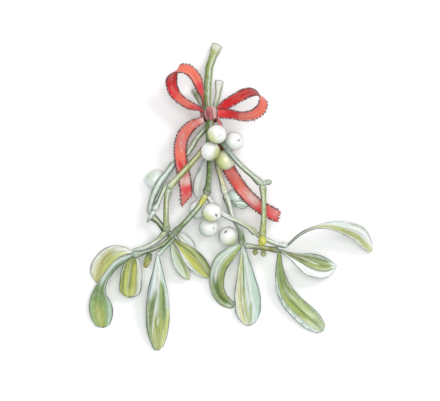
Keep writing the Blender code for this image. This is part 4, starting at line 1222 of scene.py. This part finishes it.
def picot_wave(along, spine, settings):
    """A wave along the edges: 1 at the middle of each picot loop and -1 between two loops."""
    share = (along - PICOT_MARGIN) / (spine.length - 2 * PICOT_MARGIN)
    turns = share * picot_count(spine, settings) - 0.5
    return np.cos(2 * math.pi * turns)[:, None]


def ribbon_lift(c, along, gather, seed):
    """How far the ribbon stands off its flat section: pleats where it is gathered, and a slow curl
    and flutter of the edges elsewhere."""
    s = along[:, None] / MM
    pleats = 0.22 * MM * gather[:, None] * np.cos(math.pi * 2.6 * c + 0.7 * np.sin(s / 2.5) + seed)
    curl = 0.22 * MM * (c ** 2 - 0.4) * np.sin(s / 7.0 + seed)
    flutter = 0.10 * MM * c * np.sin(s / 3.1 + 2 * seed)
    return pleats + (curl + flutter) * (1 - gather[:, None])


def ribbon_paint(name, c, outer, along, spine, settings):
    """The run's tones one after another, which are painted light and shade, with painted shade deeper on
    the inside of the loops and down the crimson side of the right tail, rose and blush streaks along the
    run, and dark dots along the edges, one by each picot loop."""
    seed = seed_of(name)
    s = along[:, None] / MM
    cloud = ripple(s / 6.0, c * 1.2, seed + 1)
    streak = ripple(s / 4.0, c * 4.5, seed + 3)
    stations, names = zip(*RIBBON_TONES[name])
    tones = [ribbon_tone(tone) for tone in names]
    place = along[:, None] / spine.length + 0.012 * cloud + 0.008 * c
    paint = blended(tones, stations, np.clip(place, 0, 1))
    # painted shade: a crimson side down the right tail
    if name == "ribbon_tail_right":
        paint = washed(paint, ribbon_tone("crimson"), 0.75 * rise(c + 0.35 * streak, 0.05, 0.75))
    clouds, streaks = (0.70, 0.40) if "tail" in name else (0.30, 0.25)
    # painted shade on the inside of the loops
    paint = washed(paint, ribbon_tone("wine"), 0.06 * (outer < 0) * np.ones_like(cloud))
    paint = washed(paint, ribbon_tone("rose"), clouds * rise(cloud, 0.1, 0.9))
    paint = washed(paint, ribbon_tone("blush"), streaks * rise(streak, 0.35, 1.0))
    paint = washed(paint, ribbon_tone("crimson"), 0.35 * rise(-streak, 0.3, 1.0))
    dots = 0.15 + 0.85 * rise(picot_wave(along, spine, settings), -0.1, 0.7)
    return washed(paint, ribbon_tone("picot"), 0.85 * rise(np.abs(c), 0.83, 0.95) * dots)


def strap_shell(name, spine, settings):
    """A thin woven strip: across = half-width * c, lift = half-thickness with a thicker selvedge,
    plus the pleats and curl. A tail's cut end runs on by its lead and is broken by a zigzag."""
    seed = seed_of(name)
    along = spine.rows(0.2 * MM, 0.1 * MM, settings.step, RIBBON_CROWDING)
    centre, tangent, side, face, half, lead, gather = ribbon_lines(spine, along)
    c, outer = strip_columns(RIBBON_COLUMNS, 0.25)
    section = (1 - np.minimum(np.abs(c), 1.0) ** 12) ** 0.5 * (1 + 0.55 * hump(np.abs(c), 0.91, 0.06))
    to_ends = np.minimum(along - along[0], along[-1] - along) + 0.005 * MM
    ends = np.sqrt(np.clip(to_ends / (0.2 * MM), 0, 1))[:, None]
    ribs = 1 + 0.10 * np.cos(2 * math.pi * along[:, None] / (0.9 * MM))
    lift = 0.5 * settings.thickness * section * outer * ends * ribs + ribbon_lift(c, along, gather, seed)
    teeth = settings.tooth * picot_wave(along, spine, settings) * (1 - 0.3 * gather[:, None])
    teeth = teeth * rise(np.abs(c), 0.70, 0.96)
    across = half[:, None] * c + np.sign(c) * teeth
    close = rise(along[:, None], spine.length - 2.5 * MM, spine.length)
    zigzag = 0.22 * MM * np.sin(9.5 * math.pi * c) + 0.15 * MM * ripple(c * 9, 0, seed)
    ahead = lead[:, None] * c + (close * zigzag if "tail" in name else 0.0)
    paint = ribbon_paint(name, c, outer, along, spine, settings)
    flow = flow_of(across, lift, along[:, None])
    return swept_once((centre, tangent, side, face), across, lift, paint, flow, ahead)


def threads(lines, radii, paint):
    """Fine four-sided threads along many lines at once."""
    tangent = unit(np.gradient(lines, axis=1))
    side = unit(np.cross(tangent, THREAD_GUIDE))
    turn = turns_of(THREAD_SIDES)
    radii = radii * np.ones(lines.shape[:2] + (1,))
    flow = lines[:, :, None] / CM * np.ones((1, 1, THREAD_SIDES, 1))
    across, lift = radii * np.cos(turn), radii * np.sin(turn)
    return swept(lines, side, np.cross(side, tangent), across, lift, paint, flow)


def picot_shell(name, spine, settings):
    """The picot loops: thread arches in a row along both edges, their feet in the selvedge. An arch
    is half a sine wave, as far out at its top as the picot reach."""
    seed = seed_of(name)
    count = picot_count(spine, settings)
    feet = PICOT_MARGIN + (np.arange(count) + 0.5) * (spine.length - 2 * PICOT_MARGIN) / count
    width = 0.36 * settings.picot_pitch
    shells = []
    for edge in (-1.0, 1.0):
        shake = np.random.default_rng(seed + int(edge)).uniform(-1, 1, (3, count, 1))
        arches = width * np.cos(math.pi * PICOT_ARC)[None]
        flat = (feet[:, None] - arches + 0.10 * settings.picot_pitch * shake[0]).ravel()
        centre, tangent, side, face, half, lead, gather = ribbon_lines(spine, flat)
        c = np.full((len(flat), 1), FOOT_PLACE * edge)
        lift = ribbon_lift(c, flat, gather, seed)[:, 0]
        small = 1 - 0.55 * gather
        out = (np.sin(math.pi * PICOT_ARC) * (1 + 0.22 * shake[1])).ravel()
        across = edge * (FOOT_PLACE * half + settings.picot_reach * small * (0.12 + out))
        stand = lift + 0.25 * settings.picot_reach * out * np.repeat(shake[2, :, 0], len(PICOT_ARC))
        lines = centre + across[:, None] * side + stand[:, None] * face + (lead * edge)[:, None] * tangent
        lines = lines.reshape(count, len(PICOT_ARC), 3)
        tones = ribbon_tone("picot") * (1 + 0.35 * shake[1])[:, :, None, None]
        tones = tones * np.ones((1, len(PICOT_ARC), THREAD_SIDES, 1))
        shells.append(threads(lines, settings.thread * PICOT_THICKNESS, tones))
    return joined(shells)


def fringe_shell(name, spine, settings):
    """Loose warp threads past the cut end: short lines that spread and droop a little."""
    seed = seed_of(name)
    random = np.random.default_rng(seed)
    c = np.linspace(-0.94, 0.94, FRINGE_THREADS) + random.uniform(-0.03, 0.03, FRINGE_THREADS)
    end = np.array([spine.length])
    centre, tangent, side, face, half, lead, gather = ribbon_lines(spine, end)
    base = centre + (half * c)[:, None] * side + ribbon_lift(c[None], end, gather, seed)[0][:, None] * face
    base = base + (lead * c)[:, None] * tangent
    share = FRINGE_SHARES
    length = random.uniform(*FRINGE_LENGTHS, FRINGE_THREADS)[:, None, None] * MM
    sway, droop = random.uniform(-0.45, 0.45, (2, FRINGE_THREADS, 1, 1))
    lines = base[:, None] + tangent * (length * share - 0.9 * MM * (share == 0))
    lines = lines + side * length * sway * share ** 2 + face * length * (droop - 0.15) * share ** 2
    tones = ribbon_tone("crimson") * random.uniform(0.6, 1.1, (FRINGE_THREADS, 1, 1, 1))
    tones = tones * np.ones((1, share.shape[1], THREAD_SIDES, 1))
    return threads(lines, settings.thread * (0.75 - 0.3 * share), tones)


def knot_shell(node):
    """The ribbon wrapped over the middle of the bow: a lumpy barrel whose radius swells between
    three slanting grooves that run round it."""
    low, high = (np.array(corner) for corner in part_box(node))
    middle, size = (low + high) / 2, (high - low) / 2
    turn = turns_of(KNOT_COLUMNS)[None]
    x = KNOT_ROWS[:, None]
    slant = x + 0.30 * np.cos(turn + 0.3) + 0.12 * ripple(3 * x, 2 * np.cos(turn), 11)
    grooves = hump(slant, -0.52, 0.09) + 0.8 * hump(slant, 0.16, 0.07) + 0.9 * hump(slant, 0.66, 0.08)
    lumps = 0.07 * ripple(2.6 * x, 1.6 * np.cos(turn), 17) + 0.02 * np.cos(19 * slant)
    swell = np.sqrt(np.clip(1 - np.abs(x) ** 4, 0.0004, 1)) * (1.0 - 0.12 * x ** 2)
    radii = swell * (1.05 - 0.16 * grooves + lumps)
    across, lift = size[1] * radii * np.cos(turn), size[2] * 1.12 * radii * np.sin(turn)
    centre = middle + x * size[0] * np.array([1.0, 0, 0])
    line = [centre, *(np.broadcast_to(vector, centre.shape) for vector in np.eye(3))]
    shape = radii.shape
    cloud = ripple(4 * x, 2.5 * np.cos(turn), 5)
    core = hump(np.hypot(x + 0.30, 0.8 * np.cos(turn) + 0.12) + 0.12 * cloud, 0.0, 0.52)
    paint = np.broadcast_to(ribbon_tone("rose"), shape + (3,))
    paint = washed(paint, bunch_tone("slate"), 0.35 + 0.25 * rise(-cloud, 0.0, 0.6))
    # painted highlight: the knot is paler on its right
    right = rise(x + 0.35 * np.cos(turn) + 0.25 * cloud, 0.2, 0.6)
    paint = washed(paint, ribbon_tone("blush"), 0.9 * right)
    # painted shade: a dark core on the left of the knot
    paint = washed(paint, ribbon_tone("wine"), 0.85 * core)
    paint = washed(paint, ribbon_tone("crimson"), 0.6 * hump(slant, -0.05, 0.12) * rise(cloud, -0.3, 0.5))
    # painted shade in the grooves
    paint = washed(paint, ribbon_tone("wine"), 0.7 * grooves)
    return swept_once(line, across, lift, paint, flow_of(across, lift, x * size[0]))


# ------------------------------------------------------------------ materials


# how rough and how waxy each grained surface is; how fine its streaks are across and how much less
# along; how fine its blotches are; how deep both lie in the colour, and the height of the relief
GRAINED = {
    "bark": dict(roughness=0.62, coat=0.0, fineness=26.0, stretch=0.10, blotch_size=5.0,
                 streak_depth=0.55, blotch_depth=0.25, relief=0.00018),
    "leaf_skin": dict(roughness=0.46, coat=0.12, fineness=24.0, stretch=0.05, blotch_size=4.0,
                      streak_depth=0.28, blotch_depth=0.12, relief=0.00006),
    "bud_scales": dict(roughness=0.50, coat=0.05, fineness=30.0, stretch=0.15, blotch_size=8.0,
                       streak_depth=0.40, blotch_depth=0.15, relief=0.00008)}
SPECKLE_FINENESS = 70.0
COAT_ROUGHNESS = 0.25
GLOW_DEPTH = 0.0015

def add_node(tree, kind, settings=None, **inputs):
    """A new node with its settings, and its inputs set or linked. An input is given by its name,
    with _ for spaces, or as i and its number."""
    node = tree.nodes.new(kind)
    for key, value in (settings or {}).items():
        setattr(node, key, value)
    for key, value in inputs.items():
        numbered = key[0] == "i" and key[1:].isdigit()
        socket = node.inputs[int(key[1:]) if numbered else key.replace("_", " ")]
        if isinstance(value, bpy.types.NodeSocket):
            tree.links.new(value, socket)
        else:
            socket.default_value = value
    return node


def maths(tree, operation, first, second=0.0):
    """One step of arithmetic on one or two numbers."""
    return add_node(tree, "ShaderNodeMath", {"operation": operation}, i0=first, i1=second).outputs[0]


def mixed(tree, factor, first, second, blend="MIX"):
    """Two colours mixed by a factor."""
    return add_node(tree, "ShaderNodeMix", {"data_type": "RGBA", "blend_type": blend},
                    i0=factor, i6=first, i7=second).outputs[2]


def remapped(tree, value, low, high, to_low, to_high):
    """The value, moved from the range low to high to the range to_low to to_high."""
    return add_node(tree, "ShaderNodeMapRange", None, Value=value, From_Min=low, From_Max=high,
                    To_Min=to_low, To_Max=to_high).outputs[0]


def new_group(name, inputs, outputs):
    """An empty shader group with float or vector inputs and float outputs, and its two end nodes."""
    tree = bpy.data.node_groups.new(name, "ShaderNodeTree")
    for label, kind, default in inputs:
        socket = tree.interface.new_socket(name=label, in_out="INPUT", socket_type=kind)
        if default is not None:
            socket.default_value = default
    for label in outputs:
        tree.interface.new_socket(name=label, in_out="OUTPUT", socket_type="NodeSocketFloat")
    return tree, tree.nodes.new("NodeGroupInput"), tree.nodes.new("NodeGroupOutput")


def grain_group():
    """Streaks that run along a piece, and the blotches between them: stretched noise over the flow."""
    tree, start, end = new_group("plant_grain", [("Flow", "NodeSocketVector", None),
                                                 ("Fineness", "NodeSocketFloat", 20.0),
                                                 ("Stretch", "NodeSocketFloat", 0.08),
                                                 ("Blotch Size", "NodeSocketFloat", 6.0)],
                                 ["Streaks", "Blotches", "Speckle"])
    squeeze = add_node(tree, "ShaderNodeCombineXYZ", None, X=1.0, Y=1.0, Z=start.outputs["Stretch"])
    drawn = add_node(tree, "ShaderNodeVectorMath", {"operation": "MULTIPLY"}, i0=start.outputs["Flow"],
                     i1=squeeze.outputs[0])
    streaks = add_node(tree, "ShaderNodeTexNoise", None, Vector=drawn.outputs[0],
                       Scale=start.outputs["Fineness"], Detail=3.0, Roughness=0.6)
    blotches = add_node(tree, "ShaderNodeTexNoise", None, Vector=start.outputs["Flow"],
                        Scale=start.outputs["Blotch Size"], Detail=4.0, Roughness=0.62)
    speckle = add_node(tree, "ShaderNodeTexNoise", None, Vector=start.outputs["Flow"],
                       Scale=SPECKLE_FINENESS, Detail=2.0)
    for label, source in (("Streaks", streaks), ("Blotches", blotches), ("Speckle", speckle)):
        tree.links.new(source.outputs[0], end.inputs[label])
    return tree


def weave_group():
    """A plain rib weave over the flow: ribs across the ribbon, and the warp threads that cross them."""
    tree, start, end = new_group("ribbon_weave", [("Flow", "NodeSocketVector", None),
                                                  ("Ribs", "NodeSocketFloat", 110.0),
                                                  ("Warp", "NodeSocketFloat", 150.0)],
                                 ["Height", "Shade"])
    parts = add_node(tree, "ShaderNodeSeparateXYZ", None, Vector=start.outputs["Flow"])
    ribs = maths(tree, "SINE", maths(tree, "MULTIPLY", parts.outputs[2], start.outputs["Ribs"]))
    warp = maths(tree, "SINE", maths(tree, "MULTIPLY", parts.outputs[0], start.outputs["Warp"]))
    crossed = maths(tree, "MULTIPLY", ribs, warp)
    height = maths(tree, "ADD", maths(tree, "MULTIPLY", ribs, 0.6), maths(tree, "MULTIPLY", crossed, 0.4))
    noise = add_node(tree, "ShaderNodeTexNoise", None, Vector=start.outputs["Flow"], Scale=30.0, Detail=3.0)
    shade = maths(tree, "ADD", maths(tree, "MULTIPLY", height, 0.10), noise.outputs[0])
    tree.links.new(height, end.inputs["Height"])
    tree.links.new(shade, end.inputs["Shade"])
    return tree


def group_in(tree, group, **inputs):
    """A node that stands for the named group."""
    return add_node(tree, "ShaderNodeGroup", {"node_tree": bpy.data.node_groups[group]}, **inputs)


def painted_material(name, roughness, coat=0.0, sheen=0.0, glow=0.0):
    """A material whose colour starts from the piece's paint, with its shader's own constants set."""
    material = bpy.data.materials.new(name)
    material.use_nodes = True
    tree = material.node_tree
    shader = tree.nodes["Principled BSDF"]
    shader.inputs["Roughness"].default_value = roughness
    shader.inputs["Coat Weight"].default_value = coat
    shader.inputs["Coat Roughness"].default_value = COAT_ROUGHNESS
    shader.inputs["Sheen Weight"].default_value = sheen
    shader.inputs["Subsurface Weight"].default_value = glow
    shader.inputs["Subsurface Scale"].default_value = GLOW_DEPTH
    paint = add_node(tree, "ShaderNodeAttribute", {"attribute_name": "paint"}).outputs["Color"]
    flow = add_node(tree, "ShaderNodeAttribute", {"attribute_name": "flow"}).outputs["Vector"]
    return material, tree, shader, paint, flow


def finished(tree, shader, colour, roughness, height, strength, relief):
    """Links a shader's colour and roughness, and the relief that the height makes."""
    tree.links.new(colour, shader.inputs["Base Color"])
    tree.links.new(roughness, shader.inputs["Roughness"])
    bump = add_node(tree, "ShaderNodeBump", None, Strength=strength, Distance=relief, Height=height)
    tree.links.new(bump.outputs[0], shader.inputs["Normal"])


def grained_material(name, roughness, coat, fineness, stretch, blotch_size, streak_depth,
                     blotch_depth, relief):
    """Paint darkened by streaks and lifted by blotches, with the same grain in the relief and gloss."""
    material, tree, shader, paint, flow = painted_material(name, roughness, coat)
    grain = group_in(tree, "plant_grain", Flow=flow, Fineness=fineness, Stretch=stretch,
                     Blotch_Size=blotch_size)
    streaks, blotches, speckle = grain.outputs
    dark = remapped(tree, streaks, 0.52, 0.30, 0.0, streak_depth)
    light = remapped(tree, blotches, 0.50, 0.72, 0.0, blotch_depth)
    colour = mixed(tree, dark, paint, (*bunch_tone("ink"), 1.0))
    colour = mixed(tree, light, colour, (*bunch_tone("white"), 1.0))
    gloss = remapped(tree, blotches, 0.3, 0.7, roughness - 0.10, roughness + 0.12)
    height = maths(tree, "ADD", streaks, maths(tree, "MULTIPLY", speckle, 0.5))
    finished(tree, shader, colour, gloss, height, 0.6, relief)
    return material


def berry_material():
    """Waxy, slightly see-through skin with faint clouding."""
    material, tree, shader, paint, flow = painted_material("berry_skin", 0.28, coat=0.5, glow=0.12)
    grain = group_in(tree, "plant_grain", Flow=flow, Fineness=5.0, Stretch=0.5, Blotch_Size=3.0)
    cloud = remapped(tree, grain.outputs["Blotches"], 0.45, 0.75, 0.0, 0.18)
    colour = mixed(tree, cloud, paint, (*bunch_tone("mint"), 1.0))
    gloss = remapped(tree, grain.outputs["Blotches"], 0.3, 0.7, 0.22, 0.36)
    finished(tree, shader, colour, gloss, grain.outputs["Speckle"], 0.25, 0.0001)
    return material


def ribbon_material():
    """Rib-woven cloth with a soft sheen."""
    material, tree, shader, paint, flow = painted_material("ribbon_cloth", 0.55, sheen=0.25)
    weave = group_in(tree, "ribbon_weave", Flow=flow, Ribs=115.0, Warp=150.0)
    shade = remapped(tree, weave.outputs["Shade"], 0.35, 0.75, 0.84, 1.10)
    grey = add_node(tree, "ShaderNodeCombineColor", None, Red=shade, Green=shade, Blue=shade)
    colour = mixed(tree, 1.0, paint, grey.outputs[0], "MULTIPLY")
    gloss = remapped(tree, weave.outputs["Shade"], 0.3, 0.8, 0.65, 0.48)
    finished(tree, shader, colour, gloss, weave.outputs["Height"], 0.7, 0.00006)
    return material


def ready_material(name):
    """The named material, made together with its groups when it is first asked for."""
    if "plant_grain" not in bpy.data.node_groups:
        grain_group()
        weave_group()
    if name in bpy.data.materials:
        return bpy.data.materials[name]
    if name in GRAINED:
        return grained_material(name, **GRAINED[name])
    return berry_material() if name == "berry_skin" else ribbon_material()


# ------------------------------------------------------------------ operators


def nodes_named(*starts):
    """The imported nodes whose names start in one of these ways, in the order of the alphabet."""
    return sorted(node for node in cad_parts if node.startswith(starts))


class BUNCH_OT_stems(Operator):
    """Grows the bark of every stem and stub"""
    bl_idname = "bunch.stems"
    bl_label = "Stems"

    def execute(self, context):
        settings, bark = context.scene.bunch_stems, ready_material("bark")
        for node in nodes_named("stem_", "stub_"):
            make_piece(f"{node}_bark", stem_shell(node, settings), bark, "stem", node)
        return {"FINISHED"}


class BUNCH_OT_leaves(Operator):
    """Grows every leaf"""
    bl_idname = "bunch.leaves"
    bl_label = "Leaves"

    def execute(self, context):
        settings, skin = context.scene.bunch_leaves, ready_material("leaf_skin")
        for node in nodes_named("leaf_"):
            make_piece(f"{node}_blade", leaf_shell(node, settings), skin, "leaf", node)
        return {"FINISHED"}


class BUNCH_OT_berries(Operator):
    """Sets every berry and the cup that it sits in"""
    bl_idname = "bunch.berries"
    bl_label = "Berries"

    def execute(self, context):
        settings = context.scene.bunch_berries
        skin, scales = ready_material("berry_skin"), ready_material("bud_scales")
        for node in nodes_named("berry_"):
            make_piece(f"{node}_fruit", berry_shell(node, settings), skin, "berry", node)
            make_piece(f"{node}_cup", cup_shell(node, settings), scales, "bud")
        return {"FINISHED"}


class BUNCH_OT_buds(Operator):
    """Grows the buds at the joints"""
    bl_idname = "bunch.buds"
    bl_label = "Buds"

    def execute(self, context):
        scales = ready_material("bud_scales")
        for node in nodes_named("bud_"):
            make_piece(f"{node}_scales", bud_shell(node), scales, "bud", node)
        return {"FINISHED"}


class BUNCH_OT_ribbon(Operator):
    """Ties the ribbon: its band, loops, tails and knot, with picots and frayed ends"""
    bl_idname = "bunch.ribbon"
    bl_label = "Ribbon"

    def execute(self, context):
        settings = context.scene.bunch_ribbon
        cloth = ready_material("ribbon_cloth")
        for node in nodes_named("ribbon_band", "ribbon_loop", "ribbon_tail"):
            tail = "tail" in node
            spine = Spine(node, upward if tail else away_from_middle)
            shells = [strap_shell(node, spine, settings), picot_shell(node, spine, settings)]
            if tail:
                shells.append(fringe_shell(node, spine, settings))
            make_piece(f"{node}_cloth", joined(shells), cloth, "ribbon", node)
        make_piece("ribbon_knot_cloth", knot_shell("ribbon_knot"), cloth, "ribbon", "ribbon_knot")
        return {"FINISHED"}


class BUNCH_OT_stage(Operator):
    """Sets the pale floor, the soft lights and the camera"""
    bl_idname = "bunch.stage"
    bl_label = "Stage"

    def execute(self, context):
        scene = context.scene
        settings = scene.bunch_stage
        set_floor(settings)
        set_lights(scene)
        set_camera(scene, settings)
        return {"FINISHED"}


def set_floor(settings):
    """A pale matt sheet on the table."""
    mesh = bpy.data.meshes.new("floor")
    corners = [(x * FLOOR_REACH, y * FLOOR_REACH, 0) for x, y in ((-1, -1), (1, -1), (1, 1), (-1, 1))]
    mesh.from_pydata(corners, [], [(0, 1, 2, 3)])
    floor = bpy.data.objects.new("floor", mesh)
    bpy.context.scene.collection.objects.link(floor)
    material = bpy.data.materials.new("floor_paper")
    material.use_nodes = True
    shader = material.node_tree.nodes["Principled BSDF"]
    shader.inputs["Base Color"].default_value = (*linear(settings.floor), 1.0)
    shader.inputs["Roughness"].default_value = 0.9
    shader.inputs["Specular IOR Level"].default_value = 0.1
    mesh.materials.append(material)


def set_lights(scene):
    """A white sky, a wide soft light overhead and a weaker one from the upper right."""
    world = bpy.data.worlds.new("studio")
    world.use_nodes = True
    sky = world.node_tree.nodes["Background"]
    sky.inputs["Color"].default_value = SKY_COLOUR
    sky.inputs["Strength"].default_value = SKY_STRENGTH
    scene.world = world
    for name, (place, size, power) in LAMPS.items():
        lamp = bpy.data.lights.new(name, "AREA")
        lamp.shape = "DISK"
        lamp.size = size
        lamp.energy = power
        light = bpy.data.objects.new(name, lamp)
        x, y, z = light.location = place
        light.rotation_euler = (math.atan2(math.hypot(x, y), z), 0.0, math.atan2(y, x) + math.pi / 2)
        scene.collection.objects.link(light)


def set_camera(scene, settings):
    """A long lens straight above the bunch, with the cut ends of the stems at the top of the view."""
    low, high = (np.array(corner) for corner in CAD_BOX)
    middle = (low + high) / 2
    data = bpy.data.cameras.new("camera")
    data.lens = settings.lens
    data.sensor_width = settings.sensor
    data.clip_start = 0.01
    camera = bpy.data.objects.new("camera", data)
    distance = settings.view_width * settings.lens / settings.sensor
    camera.location = middle + np.array([*VIEW_OFFSET, distance])
    scene.collection.objects.link(camera)
    scene.camera = camera


class BUNCH_PT_panel(Panel):
    """Lists the pieces of the bunch and their settings"""
    bl_idname = "BUNCH_PT_panel"
    bl_label = "Mistletoe bunch"
    bl_space_type = "VIEW_3D"
    bl_region_type = "UI"
    bl_category = "Mistletoe"

    def draw(self, context):
        for operator in OPERATORS:
            self.layout.operator(operator.bl_idname)
        for name, group in GROUPS:
            box = self.layout.box()
            for setting in group.__annotations__:
                box.prop(getattr(context.scene, name), setting)


OPERATORS = (BUNCH_OT_stems, BUNCH_OT_leaves, BUNCH_OT_berries, BUNCH_OT_buds, BUNCH_OT_ribbon,
             BUNCH_OT_stage)


def register():
    for _, group in GROUPS:
        bpy.utils.register_class(group)
    for name, group in GROUPS:
        setattr(bpy.types.Scene, name, PointerProperty(type=group))
    for operator in OPERATORS:
        bpy.utils.register_class(operator)
    bpy.utils.register_class(BUNCH_PT_panel)


def unregister():
    bpy.utils.unregister_class(BUNCH_PT_panel)
    for operator in reversed(OPERATORS):
        bpy.utils.unregister_class(operator)
    for name, _ in GROUPS:
        delattr(bpy.types.Scene, name)
    for _, group in reversed(GROUPS):
        bpy.utils.unregister_class(group)


def main():
    register()
    bpy.ops.bunch.stems()
    bpy.ops.bunch.leaves()
    bpy.ops.bunch.berries()
    bpy.ops.bunch.buds()
    bpy.ops.bunch.ribbon()
    bpy.ops.bunch.stage()
    bpy.context.scene.view_settings.view_transform = "Standard"


if __name__ == "__main__":
    main()
